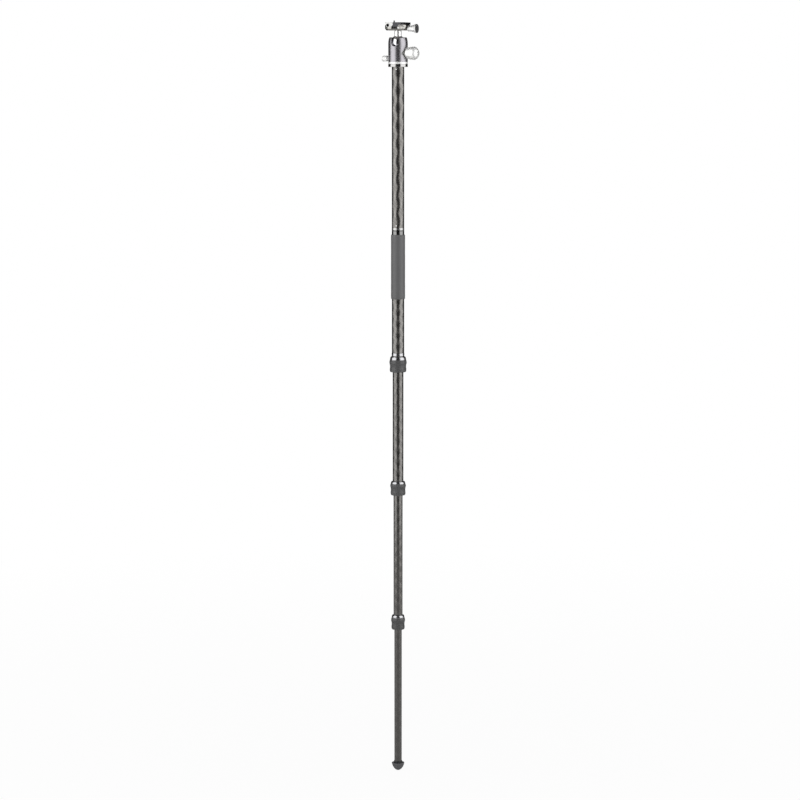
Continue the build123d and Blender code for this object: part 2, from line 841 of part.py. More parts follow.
# Ball and the post that carries the clamp.
ball_flat = ball_z + sqrt(ball_radius**2 - neck_radius**2) - 0.3
clamp_low = neck_top + running_gap
with BuildPart() as ball:
    with Locations((0, 0, ball_z)):
        Sphere(ball_radius)
    sleeve(ball_radius, 0, ball_flat, ball_z + 2 * ball_radius, mode=Mode.SUBTRACT)
    sleeve(shaft_radius, 0, ball_flat - 9, ball_z + ball_radius, mode=Mode.SUBTRACT)
ball.part.label = "ball"
export_step(ball.part, "parts/ball.step")

with BuildPart() as ball_neck:
    turn(
        [
            (0, ball_flat - 8.5),
            (shaft_radius, ball_flat - 8.5),
            (shaft_radius, ball_flat),
            (neck_radius, ball_flat),
            (neck_radius, neck_top - 0.4),
            (neck_radius - 0.4, neck_top),
            (thread_radius, neck_top),
            (thread_radius, neck_top - 9),
            (0, neck_top - 9),
        ]
    )
ball_neck.part.label = "ball_neck"
export_step(ball_neck.part, "parts/ball_neck.step")

# Clamp. Its floor carries the plate, its left jaw is fixed and its right jaw moves along X.
floor_z = neck_top + clamp_floor
spindle_z = floor_z - 3.3
plate_low = floor_z + plate_rest_gap
land_z = plate_low + dovetail_land
neck_z = land_z + dovetail_flank
plate_under = neck_z + dovetail_neck
plate_neck_half = dovetail_half_width - dovetail_flank
plate_top = plate_under + platform_thickness
pad_top = plate_top + pad_thickness
jaw_high = plate_under - jaw_top_drop
jaw_land = dovetail_half_width + plate_side_gap
jaw_lip = plate_neck_half + plate_side_gap
relief_z = floor_z - relief_depth
mount_head_low = relief_z - 3.5
with BuildPart() as clamp_body:
    with BuildSketch(Plane.XZ):
        with BuildLine():
            Polyline(
                (-clamp_left_x + 4.0, clamp_low),
                (jaw_split_x, clamp_low),
                (jaw_split_x, floor_z),
                (-jaw_land, floor_z),
                (-jaw_land, land_z),
                (-jaw_lip, neck_z),
                (-jaw_lip, jaw_high),
                (-clamp_left_x + 1.5, jaw_high),
            )
            ThreePointArc(
                (-clamp_left_x + 1.5, jaw_high),
                (-clamp_left_x, clamp_low + 5.2),
                (-clamp_left_x + 4.0, clamp_low),
            )
        make_face()
    extrude(amount=clamp_half_length, both=True)
    with BuildSketch(Plane.XZ):
        with Locations((0, floor_z)):
            Rectangle(2 * relief_half_width, 2 * relief_depth)
    extrude(amount=clamp_half_length, both=True, mode=Mode.SUBTRACT)
    sleeve(5.0, 0, mount_head_low, floor_z, mode=Mode.SUBTRACT)
    sleeve(thread_radius + running_gap, 0, clamp_low - 1, floor_z, mode=Mode.SUBTRACT)
    rod(spindle_radius + running_gap, relief_half_width + 0.5, far, 0, spindle_z, mode=Mode.SUBTRACT)
    for side in (-guide_pin_spread, guide_pin_spread):
        rod(guide_pin_radius, 3.0, far, side, spindle_z, mode=Mode.SUBTRACT)
    level_x = -clamp_left_x + 3.6
    with BuildSketch(Plane.XZ):
        with Locations((level_x, clamp_low + 4.0)):
            Circle(level_radius)
    extrude(amount=clamp_half_length, both=True, mode=Mode.SUBTRACT)
clamp_body.part.label = "clamp_body"
export_step(clamp_body.part, "parts/clamp_body.step")

with BuildPart() as level_vial:
    with BuildSketch(Plane.XZ):
        with Locations((level_x, clamp_low + 4.0)):
            Circle(level_radius)
    extrude(amount=clamp_half_length - 0.8, both=True)
level_vial.part.label = "level_vial"
export_step(level_vial.part, "parts/level_vial.step")

with BuildPart() as clamp_mount_screw:
    sleeve(thread_radius, 0, neck_top - 8.5, mount_head_low + 0.1)
    sleeve(4.8, 0, mount_head_low + 0.1, relief_z - 0.2)
    with BuildSketch(Plane.XY.offset(relief_z - 0.2)):
        RegularPolygon(2.5, 6)
    extrude(amount=-2.0, mode=Mode.SUBTRACT)
clamp_mount_screw.part.label = "clamp_mount_screw"
export_step(clamp_mount_screw.part, "parts/clamp_mount_screw.step")

with BuildPart() as clamp_guide_pins:
    for side in (-guide_pin_spread, guide_pin_spread):
        rod(guide_pin_radius, 3.0, jaw_outer_x - 0.2, side, spindle_z)
clamp_guide_pins.part.label = "clamp_guide_pins"
export_step(clamp_guide_pins.part, "parts/clamp_guide_pins.step")

with BuildPart() as clamp_jaw:
    with BuildSketch(Plane.XZ):
        with BuildLine():
            Polyline(
                (jaw_split_x + 0.2, clamp_low),
                (jaw_outer_x - 2.2, clamp_low),
                (jaw_outer_x, clamp_low + 5.0),
                (jaw_outer_x, jaw_high - 0.8),
                (jaw_outer_x - 0.8, jaw_high),
                (jaw_lip, jaw_high),
                (jaw_lip, neck_z),
                (jaw_land, land_z),
                (jaw_land, floor_z),
                (jaw_split_x + 0.2, floor_z),
                close=True,
            )
        make_face()
    extrude(amount=clamp_half_length, both=True)
    with BuildSketch(Plane.XY.offset(clamp_low - 1)):
        for side in (-1, 1):
            with BuildLine():
                Polyline(
                    (jaw_outer_x + 1, side * (clamp_half_length - jaw_corner - 1)),
                    (jaw_outer_x + 1, side * (clamp_half_length + 1)),
                    (jaw_outer_x - jaw_corner - 1, side * (clamp_half_length + 1)),
                    close=True,
                )
            make_face()
    extrude(amount=far, mode=Mode.SUBTRACT)
    rod(spindle_radius + running_gap, 0, far, 0, spindle_z, mode=Mode.SUBTRACT)
    for side in (-guide_pin_spread, guide_pin_spread):
        rod(guide_pin_radius + running_gap, 0, far, side, spindle_z, mode=Mode.SUBTRACT)
clamp_jaw.part.label = "clamp_jaw"
export_step(clamp_jaw.part, "parts/clamp_jaw.step")

clamp_axis = Axis((0, 0, spindle_z), (1, 0, 0))
clamp_cap_end = clamp_knob_outer_x + clamp_cap_length
with BuildPart() as clamp_spindle:
    rod(spindle_radius, relief_half_width + 0.8, clamp_knob_outer_x, 0, spindle_z)
    rod(1.6, clamp_knob_outer_x, clamp_cap_end + 0.2, 0, spindle_z)
clamp_spindle.part.label = "clamp_spindle"
export_step(clamp_spindle.part, "parts/clamp_spindle.step")

with BuildPart() as clamp_knob:
    with BuildSketch(Plane.XZ):
        with BuildLine():
            Polyline(
                (clamp_knob_outer_x, spindle_z + spindle_radius),
                (jaw_outer_x + 0.1, spindle_z + spindle_radius),
                (jaw_outer_x + 0.1, spindle_z + clamp_knob_inner_radius - 1.2),
                (clamp_knob_inner_x, spindle_z + clamp_knob_inner_radius - 1.2),
                (clamp_knob_inner_x, spindle_z + clamp_knob_inner_radius),
                (clamp_knob_inner_x + 3.0, spindle_z + clamp_knob_inner_radius),
            )
            ThreePointArc(
                (clamp_knob_inner_x + 3.0, spindle_z + clamp_knob_inner_radius),
                (clamp_knob_inner_x + 10.5, spindle_z + clamp_knob_inner_radius + 0.9),
                (clamp_knob_outer_x - 1.2, spindle_z + clamp_knob_radius),
            )
            Polyline(
                (clamp_knob_outer_x - 1.2, spindle_z + clamp_knob_radius),
                (clamp_knob_outer_x, spindle_z + clamp_knob_radius - 0.3),
                (clamp_knob_outer_x, spindle_z + spindle_radius),
            )
        make_face()
    revolve(axis=clamp_axis)
clamp_knob.part.label = "clamp_knob"
export_step(clamp_knob.part, "parts/clamp_knob.step")

with BuildPart() as clamp_knob_cap:
    turn(
        [
            (clamp_knob_outer_x, spindle_z + 1.6),
            (clamp_knob_outer_x, spindle_z + clamp_knob_radius - 0.3),
            (clamp_cap_end - 0.5, spindle_z + clamp_knob_radius - 0.4),
            (clamp_cap_end, spindle_z + clamp_knob_radius - 1.2),
            (clamp_cap_end - 0.5, spindle_z + 2.6),
            (clamp_cap_end - 0.5, spindle_z + 1.6),
        ],
        axis=clamp_axis,
    )
clamp_knob_cap.part.label = "clamp_knob_cap"
export_step(clamp_knob_cap.part, "parts/clamp_knob_cap.step")

# Plate that stays on the camera: dovetail body, rubber pad, captive screw and anti-twist pin.
screw_web = 2.0
slot_ceiling = plate_top - screw_web
screw_head_height = 2.4
screw_head_low = slot_ceiling - camera_screw_lift - screw_head_height
with BuildPart() as plate_body:
    with BuildSketch(Plane.XZ):
        with BuildLine():
            Polyline(
                (-dovetail_half_width, plate_low),
                (dovetail_half_width, plate_low),
                (dovetail_half_width, land_z),
                (plate_neck_half, neck_z),
                (plate_neck_half, plate_under),
                (plate_half_width, plate_under),
                (plate_half_width, plate_top),
                (-plate_half_width, plate_top),
                (-plate_half_width, plate_under),
                (-plate_neck_half, plate_under),
                (-plate_neck_half, neck_z),
                (-dovetail_half_width, land_z),
                close=True,
            )
        make_face()
    extrude(amount=plate_half_length, both=True)
    with BuildSketch(Plane.XY.offset(plate_low - 1)):
        Rectangle(2 * plate_half_width + 2, 2 * plate_half_length + 2)
        RectangleRounded(2 * plate_half_width, 2 * plate_half_length, plate_corner, mode=Mode.SUBTRACT)
    extrude(amount=2 * far, mode=Mode.SUBTRACT)
    with BuildSketch(Plane.XY.offset(plate_low)):
        SlotCenterToCenter(2 * camera_slot_travel, 2 * camera_screw_radius + 0.4, rotation=90)
    extrude(amount=far, mode=Mode.SUBTRACT)
    with BuildSketch(Plane.XY.offset(plate_low)):
        SlotCenterToCenter(2 * camera_slot_travel, 2 * camera_screw_head_radius + 0.4, rotation=90)
    extrude(amount=slot_ceiling - plate_low, mode=Mode.SUBTRACT)
    with BuildSketch(Plane.XY.offset(plate_low)):
        with Locations((0, -twist_pin_y)):
            Circle(twist_pin_radius + running_gap)
    extrude(amount=far, mode=Mode.SUBTRACT)
plate_body.part.label = "plate_body"
export_step(plate_body.part, "parts/plate_body.step")

with BuildPart() as plate_pad:
    with BuildSketch(Plane.XY.offset(plate_top)):
        RectangleRounded(2 * plate_half_width, 2 * plate_half_length, plate_corner)
        SlotCenterToCenter(2 * camera_slot_travel, 2 * camera_screw_radius + 0.8, rotation=90, mode=Mode.SUBTRACT)
        with Locations((0, -twist_pin_y)):
            Circle(twist_pin_radius + running_gap, mode=Mode.SUBTRACT)
    extrude(amount=pad_thickness)
plate_pad.part.label = "plate_pad"
export_step(plate_pad.part, "parts/plate_pad.step")

with BuildPart() as camera_screw:
    sleeve(camera_screw_head_radius, 0, screw_head_low, screw_head_low + screw_head_height)
    sleeve(camera_screw_radius, 0, screw_head_low + screw_head_height, pad_top - 0.1)
    with Locations((0, 0, screw_head_low)):
        Box(1.2, 2 * camera_screw_head_radius, 2.0, mode=Mode.SUBTRACT)
camera_screw.part.label = "camera_screw"
export_step(camera_screw.part, "parts/camera_screw.step")

with BuildPart() as twist_pin:
    with BuildSketch(Plane.XY.offset(plate_low + 2.0)):
        with Locations((0, -twist_pin_y)):
            Circle(twist_pin_radius)
    extrude(amount=pad_top + twist_pin_height - plate_low - 2.0)
    fillet(twist_pin.edges().group_by(Axis.Z)[-1], 0.6)
twist_pin.part.label = "twist_pin"
export_step(twist_pin.part, "parts/twist_pin.step")

print("overall height", round(pad_top + twist_pin_height, 1))
print("travel of legs 2, 3, 4", [
    round(lock_bottom[0] - lock_top[1] - travel_margin, 1),
    round(lock_bottom[1] - lock_top[2] - travel_margin, 1),
    round(lock_bottom[2] - foot_core_top - travel_margin, 1),
])
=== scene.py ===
# %% [markdown]
# # A travel tripod's leg as a monopod
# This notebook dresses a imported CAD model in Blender: one carbon leg with three twist locks,
# the centre column screwed on top of it, and a ball head with a quick-release plate.
# The CAD nodes are the fixed frame. They keep their places, and get finishes or a finer
# piece in their stead. Everything is in metres, with the foot's tip at the origin and +Z up.

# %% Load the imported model
import json
from math import cos, pi, radians, sin

import bpy
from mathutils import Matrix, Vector

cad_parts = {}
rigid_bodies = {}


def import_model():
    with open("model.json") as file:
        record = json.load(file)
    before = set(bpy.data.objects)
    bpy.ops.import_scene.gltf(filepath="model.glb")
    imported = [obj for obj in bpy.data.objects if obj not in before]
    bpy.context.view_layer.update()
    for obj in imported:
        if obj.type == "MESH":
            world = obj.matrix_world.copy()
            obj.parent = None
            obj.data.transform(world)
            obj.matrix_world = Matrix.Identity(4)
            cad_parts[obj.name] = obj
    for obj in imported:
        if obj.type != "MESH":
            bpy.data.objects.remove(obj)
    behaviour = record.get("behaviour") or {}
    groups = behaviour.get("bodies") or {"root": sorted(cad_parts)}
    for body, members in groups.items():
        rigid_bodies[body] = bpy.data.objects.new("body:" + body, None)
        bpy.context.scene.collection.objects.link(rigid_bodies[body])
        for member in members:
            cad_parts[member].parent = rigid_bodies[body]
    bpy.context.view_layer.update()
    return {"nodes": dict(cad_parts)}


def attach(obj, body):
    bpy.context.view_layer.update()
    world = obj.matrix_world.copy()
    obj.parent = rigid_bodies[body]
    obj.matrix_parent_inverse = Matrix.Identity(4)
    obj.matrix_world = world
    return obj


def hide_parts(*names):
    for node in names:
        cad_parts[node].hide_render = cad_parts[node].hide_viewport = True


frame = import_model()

MM = 0.001
nodes = frame["nodes"]

# %% [markdown]
# ## The camera
# The photograph was taken from far away with a long lens, so the pole hardly narrows
# towards its foot. The ellipses at the foot show that the camera looks down by 7 degrees.
# A camera can be placed by eye, but working out its height, distance and lens from
# the picture puts every ring of the pole on the row of pixels where the photograph has it.

# %% Camera
camera_turn = radians(22.5)
camera_distance = 5.5
camera_height = 1.452
pitch = radians(7.0608)
aim_right = 0.00396 / camera_distance  # puts the pole on its own column of pixels

bpy.ops.object.select_all(action="DESELECT")
bpy.ops.object.camera_add(
    location=(
        camera_distance * sin(camera_turn), -camera_distance * cos(camera_turn), camera_height
    ),
    rotation=(pi / 2 - pitch, 0, camera_turn - aim_right),
)
camera = bpy.context.object
camera.name = "photo_camera"
camera.data.sensor_width = 36
camera.data.lens = 122.547
camera.data.clip_end = 100
bpy.context.scene.camera = camera
bpy.context.scene.view_settings.view_transform = "Standard"
print("camera", [round(value, 3) for value in camera.location])


# %% [markdown]
# ## Shader maths as Python
# A material is a little machine of connected nodes. Placing them one by one hides the idea,
# so two small classes do the wiring: a Wire is the output of a node, and adding or multiplying
# wires adds Math nodes, while a Finish holds one material and one method that adds any node.

# %% Wires
class Wire:
    """One output of a material's node, so that shader maths reads as arithmetic."""

    def __init__(self, finish, socket):
        self.finish = finish
        self.socket = socket

    def maths(self, operation, *values):
        return self.finish.add("ShaderNodeMath", {"operation": operation}, dict(enumerate(values)))

    def __add__(self, other):
        return self.maths("ADD", self, other)

    def __radd__(self, other):
        return self.maths("ADD", other, self)

    def __sub__(self, other):
        return self.maths("SUBTRACT", self, other)

    def __rsub__(self, other):
        return self.maths("SUBTRACT", other, self)

    def __mul__(self, other):
        return self.maths("MULTIPLY", self, other)

    def __rmul__(self, other):
        return self.maths("MULTIPLY", other, self)

    def __lt__(self, other):
        return self.maths("LESS_THAN", self, other)


# %% Finishes
MIX_FIRST, MIX_SECOND, MIX_RESULT = 6, 7, 2  # the colour sockets of a Mix node


class Finish:
    """One material. add() puts in any node, and the rest are short names for common ones."""

    def __init__(self, name, colour, roughness, metallic=0.0, coat=0.0, coat_roughness=0.1):
        self.material = bpy.data.materials.new(name)
        self.material.use_nodes = True
        self.tree = self.material.node_tree
        self.shader = self.tree.nodes["Principled BSDF"]
        self.shader.inputs["Base Color"].default_value = (*colour, 1)
        self.shader.inputs["Roughness"].default_value = roughness
        self.shader.inputs["Metallic"].default_value = metallic
        self.shader.inputs["Coat Weight"].default_value = coat
        self.shader.inputs["Coat Roughness"].default_value = coat_roughness

    def feed(self, socket, value):
        if isinstance(value, Wire):
            self.tree.links.new(value.socket, socket)
        else:
            socket.default_value = value

    def add(self, kind, settings, values, out=0):
        node = self.tree.nodes.new(kind)
        for name, value in settings.items():
            setattr(node, name, value)
        for key, value in values.items():
            self.feed(node.inputs[key], value)
        return Wire(self, node.outputs[out])

    def place(self):
        return self.add("ShaderNodeTexCoord", {}, {}, "Object")

    def parts(self, vector):
        node = self.add("ShaderNodeSeparateXYZ", {}, {0: vector}).socket.node
        return [Wire(self, output) for output in node.outputs]

    def stretched(self, scale):
        return self.add("ShaderNodeMapping", {}, {"Vector": self.place(), "Scale": scale})

    def noise(self, scale, detail, vector=None):
        values = {"Vector": vector or self.place(), "Scale": scale, "Detail": detail}
        return self.add("ShaderNodeTexNoise", {}, values)

    def between(self, factor, first, second):
        """Blend two colours, each given as three numbers or as a wire."""
        first, second = (end if isinstance(end, Wire) else (*end, 1) for end in (first, second))
        values = {0: factor, MIX_FIRST: first, MIX_SECOND: second}
        return self.add("ShaderNodeMix", {"data_type": "RGBA"}, values, MIX_RESULT)

    def ramp(self, value, low, high):
        values = {"Value": value, "From Min": low, "From Max": high, "To Min": 0.0, "To Max": 1.0}
        return self.add("ShaderNodeMapRange", {"clamp": True}, values)

    def bump(self, height, distance, strength):
        values = {"Height": height, "Distance": distance, "Strength": strength}
        self.feed(self.shader.inputs["Normal"], self.add("ShaderNodeBump", {}, values))

    def surface(self, **values):
        for name, value in values.items():
            self.feed(self.shader.inputs[name.replace("_", " ")], value)


print("Wire and Finish are ready")


# %% [markdown]
# ## Carbon tubes
# A carbon tube is woven: flat bundles of fibre, 2 mm wide, pass over two and under two, and
# each row steps sideways by one. That twill is drawn from the angle round the tube and the
# height along it, so it needs no unwrapping and closes exactly at the seam.
# Under the clear coat the layers also wave, which makes the long reflections waver.

# %% Carbon finish
def carbon(name, radius, wave, shade, depth, sway):
    """Twill round a tube of one radius. Its layers wave along it at one length.

    Shade is the brightness, partly the carbon's own tone and partly painted shade, depth how dark
    the streaks get, and sway how deep the waves are.
    """
    bundle = 2.0 * MM
    finish = Finish(name, (0.05, 0.05, 0.05), 0.36, coat=1.0, coat_roughness=0.16)
    x, y, z = finish.parts(finish.place())
    turn = x.maths("ARCTAN2", y, x)
    bundles = 4 * round(2 * pi * radius / (4 * bundle))
    across = turn * (bundles / (2 * pi))
    along = z * (1 / bundle)
    column = across.maths("FLOOR", across)
    row = along.maths("FLOOR", along)
    over = row.maths("FLOORED_MODULO", column + row, 4.0) < 1.5
    warp = across.maths("SINE", (across - column) * pi)
    weft = along.maths("SINE", (along - row) * pi)
    weave = warp * over + weft * (1 - over)
    helix = z * (2 * pi / wave)
    waves = helix.maths("SINE", helix + turn * 2) + helix.maths("SINE", helix * 0.93 - turn * 3)
    streaks = finish.noise(1.0, 4.0, finish.stretched((700, 700, 40)))
    tone = finish.ramp(waves * 0.6 + streaks * 1.2, -0.9, 1.9)
    light = tuple(shade * value for value in (0.235, 0.225, 0.211))
    dark = tuple(shade * (1 - depth) * value for value in (0.235, 0.222, 0.205))
    finish.surface(Base_Color=finish.between(tone * 0.8 + over * 0.2, dark, light))
    finish.surface(Metallic=0.88, Roughness=0.24 + 0.08 * (1 - over))
    finish.bump(waves * sway + weave * 0.02, 1.0 * MM, 0.7)
    return finish.material


# the shade falls from the column to the lowest leg: painted shade for the lights growing dimmer
# towards the foot
column_carbon = carbon("carbon_weave_column", 12.5 * MM, 34 * MM, 0.78, 0.55, 0.60)
leg_carbon = [
    carbon("carbon_weave_leg_1", 12.5 * MM, 22 * MM, 0.70, 0.5, 0.35),
    carbon("carbon_weave_leg_2", 10.9 * MM, 22 * MM, 0.60, 0.45, 0.25),
    carbon("carbon_weave_leg_3", 9.3 * MM, 21 * MM, 0.56, 0.4, 0.15),
    carbon("carbon_weave_leg_4", 7.7 * MM, 20 * MM, 0.47, 0.3, 0.08),
]
print("carbon finishes:", 1 + len(leg_carbon))

# %% [markdown]
# ## Metal finishes
# The head is turned aluminium with a glossy dark anodised skin, and its rings and knobs are
# silver. Anodising follows the turning marks, so each metal gets very fine rings round
# its axis, a little unevenness in its gloss, and the faint mottling of handled metal.
# Two faces are painted lighter: the knob's recess as a painted highlight, and a plate's corner
# partly as bare milled metal and partly as a painted highlight.

# %% Metal
TURNED, TURNED_ABOUT_X, EVEN = (300, 300, 4000), (4000, 300, 300), (900, 900, 900)
# near-white colour of a painted highlight, for the faces of the knob's recess
PAINTED_HIGHLIGHT_COLOUR = (0.8, 0.8, 0.79)


def metal(name, colour, roughness, grain=TURNED, depth=0.012, painted_highlight_area=None, painted_highlight_colour=PAINTED_HIGHLIGHT_COLOUR):
    """Anodised metal. Where the given mask of (x, y, z) is 1, a lighter colour is painted: a
    painted highlight, which on the plate's corner also stands for bare metal.
    """
    finish = Finish(name, colour, roughness, metallic=1.0)
    marks = finish.noise(1.0, 4.0, finish.stretched(grain))
    smudges = finish.noise(55.0, 3.0)
    bright = tuple(min(1.0, 1.10 * value) for value in colour)
    dull = tuple(0.88 * value for value in colour)
    tone = finish.between(smudges * 0.6 + marks * 0.4, dull, bright)
    rough = roughness * 0.75 + smudges * (roughness * 0.5)
    if painted_highlight_area:
        # inside the mask the colour is a painted highlight, and the face is a little rougher
        where = painted_highlight_area(*finish.parts(finish.place()))
        tone = finish.between(where, tone, painted_highlight_colour)
        rough = rough + where * 0.3
    finish.surface(Base_Color=tone, Roughness=rough)
    finish.bump(marks, depth * MM, 0.6)
    return finish.material


# the recess faces get a near-white painted highlight, for the strip light they face
def in_knob_recess(x, y, z):
    """Inside the housing's skin, on its knob side and under its shoulder."""
    return (x * x + y * y < (19.3 * MM) ** 2) * (1 - (x < 9.0 * MM)) * (z < 1486.0 * MM)


# the cut corner is painted a lighter grey: partly bare milled metal, partly a painted highlight of
# the right-hand strip light
def on_cut_corner(x, y, z):
    """Behind the plane that cuts off the plate's lower corner at the front right."""
    return (1 - (x - y < 31.9 * MM)) * (z < 1527.2 * MM)


print("metal is ready")

# %% Metals
# the knob's recess is painted near-white as a painted highlight
gunmetal = metal("gunmetal_anodised", (0.32, 0.31, 0.33), 0.33, painted_highlight_area=in_knob_recess)
ball_metal = metal("polished_ball", (0.70, 0.70, 0.72), 0.07, (500, 500, 500), 0.002)
clamp_metal = metal("clamp_anodised", (0.36, 0.35, 0.33), 0.27, EVEN)
lock_metal = metal("lock_collar_gloss", (0.38, 0.38, 0.39), 0.22)
pan_silver = metal("pan_ring_silver", (0.86, 0.86, 0.85), 0.58)
silver = metal("silver_anodised", (0.86, 0.86, 0.86), 0.34)
silver_along_x = metal("silver_anodised_knob", (0.90, 0.90, 0.89), 0.56, TURNED_ABOUT_X)
dark_metal = metal("dark_anodised", (0.055, 0.055, 0.058), 0.32, EVEN)
collar_metal = metal("collar_gloss", (0.18, 0.18, 0.178), 0.16)
platform_metal = metal("platform_gloss", (0.38, 0.375, 0.37), 0.15)
ring_metal = metal("bottom_ring", (0.42, 0.42, 0.415), 0.30)
steel = metal("bright_steel", (0.58, 0.58, 0.57), 0.22, (700, 700, 2500))
grey_metal = metal("grey_anodised", (0.78, 0.78, 0.78), 0.50, TURNED_ABOUT_X)
# its cut corner gets a lighter grey, partly bare metal and partly a painted highlight
plate_metal = metal(
    "plate_anodised", (0.055, 0.055, 0.058), 0.32, EVEN,
    painted_highlight_area=on_cut_corner, painted_highlight_colour=(0.38, 0.37, 0.35),
)
cap_metal = metal("smoked_cap", (0.30, 0.30, 0.302), 0.40, (4000, 600, 600))
eye_metal = metal("satin_strap_eye", (0.50, 0.50, 0.49), 0.40, (700, 2500, 700))
print("materials with the metals:", len(bpy.data.materials))

# %% [markdown]
# ## Rubber, foam and plastic
# Rubber and foam show their make by how they break up a reflection. Moulded rubber has a fine
# pebble, closed-cell foam has open pores where its skin is cut, and moulded plastic is smooth
# with a slight unevenness.

# %% Soft finishes
def rubber(name, colour, pebble=1400.0, depth=0.05, roughness=0.58):
    finish = Finish(name, colour, roughness)
    grain = finish.noise(pebble, 2.0)
    wear = finish.noise(60.0, 4.0)
    dark = tuple(0.72 * value for value in colour)
    light = tuple(1.35 * value for value in colour)
    finish.surface(Base_Color=finish.between(wear * 0.6 + grain * 0.4, dark, light))
    finish.surface(Roughness=roughness - 0.08 + wear * 0.16)
    finish.bump(grain, depth * MM, 0.8)
    return finish.material


def foam(name, colour):
    finish = Finish(name, colour, 0.6)
    cells = {"Vector": finish.place(), "Scale": 900.0}
    pores = finish.add("ShaderNodeTexVoronoi", {"feature": "F1"}, cells)
    wear = finish.noise(25.0, 4.0)
    open_pore = finish.ramp(pores, 0.05, 0.45)
    dark = tuple(0.55 * value for value in colour)
    light = tuple(1.25 * value for value in colour)
    finish.surface(Base_Color=finish.between(open_pore * 0.75 + wear * 0.25, dark, light))
    finish.surface(Roughness=0.43 + wear * 0.12)
    finish.bump(open_pore, 0.12 * MM, 0.8)
    return finish.material


grip_rubber = rubber("grip_rubber", (0.085, 0.085, 0.086), roughness=0.42)
foot_rubber_finish = rubber("foot_rubber", (0.098, 0.098, 0.104), 900.0, 0.06, 0.5)
pad_rubber = rubber("plate_pad_rubber", (0.028, 0.028, 0.028), 1100.0, 0.06, 0.62)
black_plastic = rubber("black_moulding", (0.020, 0.020, 0.021), 2200.0, 0.02, 0.42)
grip_foam = foam("foam_skin", (0.108, 0.108, 0.110))
print("materials with the soft ones:", len(bpy.data.materials))

# %% Vial finish
vial = Finish("tinted_vial", (0.07, 0.11, 0.05), 0.08, coat=1.0, coat_roughness=0.03)
swirl = vial.noise(300.0, 2.0)
vial.surface(Base_Color=vial.between(swirl, (0.05, 0.09, 0.035), (0.10, 0.15, 0.07)))
vial.surface(Roughness=0.06 + swirl * 0.05)
vial_green = vial.material
print("vial finish:", vial_green.name)

# %% [markdown]
# ## Dressing the CAD nodes
# A CAD node whose shape is right keeps it, and only its material changes. The node's own
# material slot takes the new finish, because the node itself must not be touched.
# The nodes that a finer piece replaces further down are dressed too.

# %% Assign finishes
finishes = {
    "foot_core": black_plastic,
    "leg_4_plug": black_plastic,
    "leg_1_tube": leg_carbon[0],
    "leg_2_tube": leg_carbon[1],
    "leg_3_tube": leg_carbon[2],
    "leg_4_tube": leg_carbon[3],
    "leg_top_fitting": collar_metal,
    "leg_stud": steel,
    "column_bottom_ring": ring_metal,
    "column_tube": column_carbon,
    "column_pins": silver,
    "column_platform": platform_metal,
    "head_stud": steel,
    "pan_base": pan_silver,
    "pan_washer": black_plastic,
    "pan_brake": black_plastic,
    "pan_knob": silver_along_x,
    "pan_knob_screw": steel,
    "head_housing": gunmetal,
    "ball_retainer": dark_metal,
    "ball_seat": black_plastic,
    "lock_wedge": steel,
    "main_knob_bushing": steel,
    "main_knob_shaft": steel,
    "main_knob": silver_along_x,
    "main_knob_band": grey_metal,
    "friction_dial": silver_along_x,
    "ball": ball_metal,
    "ball_neck": silver,
    "clamp_mount_screw": steel,
    "clamp_body": clamp_metal,
    "clamp_guide_pins": steel,
    "level_vial": vial_green,
    "clamp_jaw": clamp_metal,
    "clamp_spindle": steel,
    "clamp_knob": silver_along_x,
    "clamp_knob_cap": cap_metal,
    "plate_body": dark_metal,
    "plate_pad": pad_rubber,
    "camera_screw": steel,
    "twist_pin": dark_metal,
    "foam_grip": grip_foam,
    "foot_rubber": foot_rubber_finish,
}
for number in (1, 2, 3):
    finishes[f"lock_{number}_bush"] = black_plastic
    finishes[f"lock_{number}_collet"] = black_plastic
    finishes[f"lock_{number}_sleeve"] = lock_metal
    finishes[f"lock_{number}_grip"] = grip_rubber
    finishes[f"leg_{number + 1}_guides"] = black_plastic

for name, finish in finishes.items():
    slots = nodes[name].data.materials
    slots.clear()
    slots.append(finish)
print("dressed", len(finishes), "of", len(nodes), "nodes")


# %% [markdown]
# ## Turning a piece on the lathe
# Most of a tripod is turned. Blender's spin tool works like a lathe: one corner is extruded
# from point to point round the outline of a cut, and the outline is then spun about the axis.
# Outlines are in millimetres from the axis and from the floor, as on a drawing.

# %% Lathe
def only(piece):
    bpy.ops.object.select_all(action="DESELECT")
    piece.select_set(True)
    bpy.context.view_layer.objects.active = piece


def draw_outline(name, points):
    """Draw a closed outline corner by corner. All of it stays chosen, in edit mode."""
    bpy.ops.object.select_all(action="DESELECT")
    bpy.ops.mesh.primitive_plane_add(size=MM, location=points[0])
    piece = bpy.context.object
    piece.name = name
    bpy.ops.object.mode_set(mode="EDIT")
    bpy.ops.mesh.select_mode(type="VERT")
    bpy.ops.mesh.select_all(action="SELECT")
    bpy.ops.mesh.merge(type="CENTER")
    for start, end in zip(points, points[1:] + points[:1]):
        bpy.ops.mesh.extrude_region_move(TRANSFORM_OT_translate={"value": end - start})
    bpy.ops.mesh.select_all(action="SELECT")
    bpy.ops.mesh.remove_doubles(threshold=1e-6)
    return piece


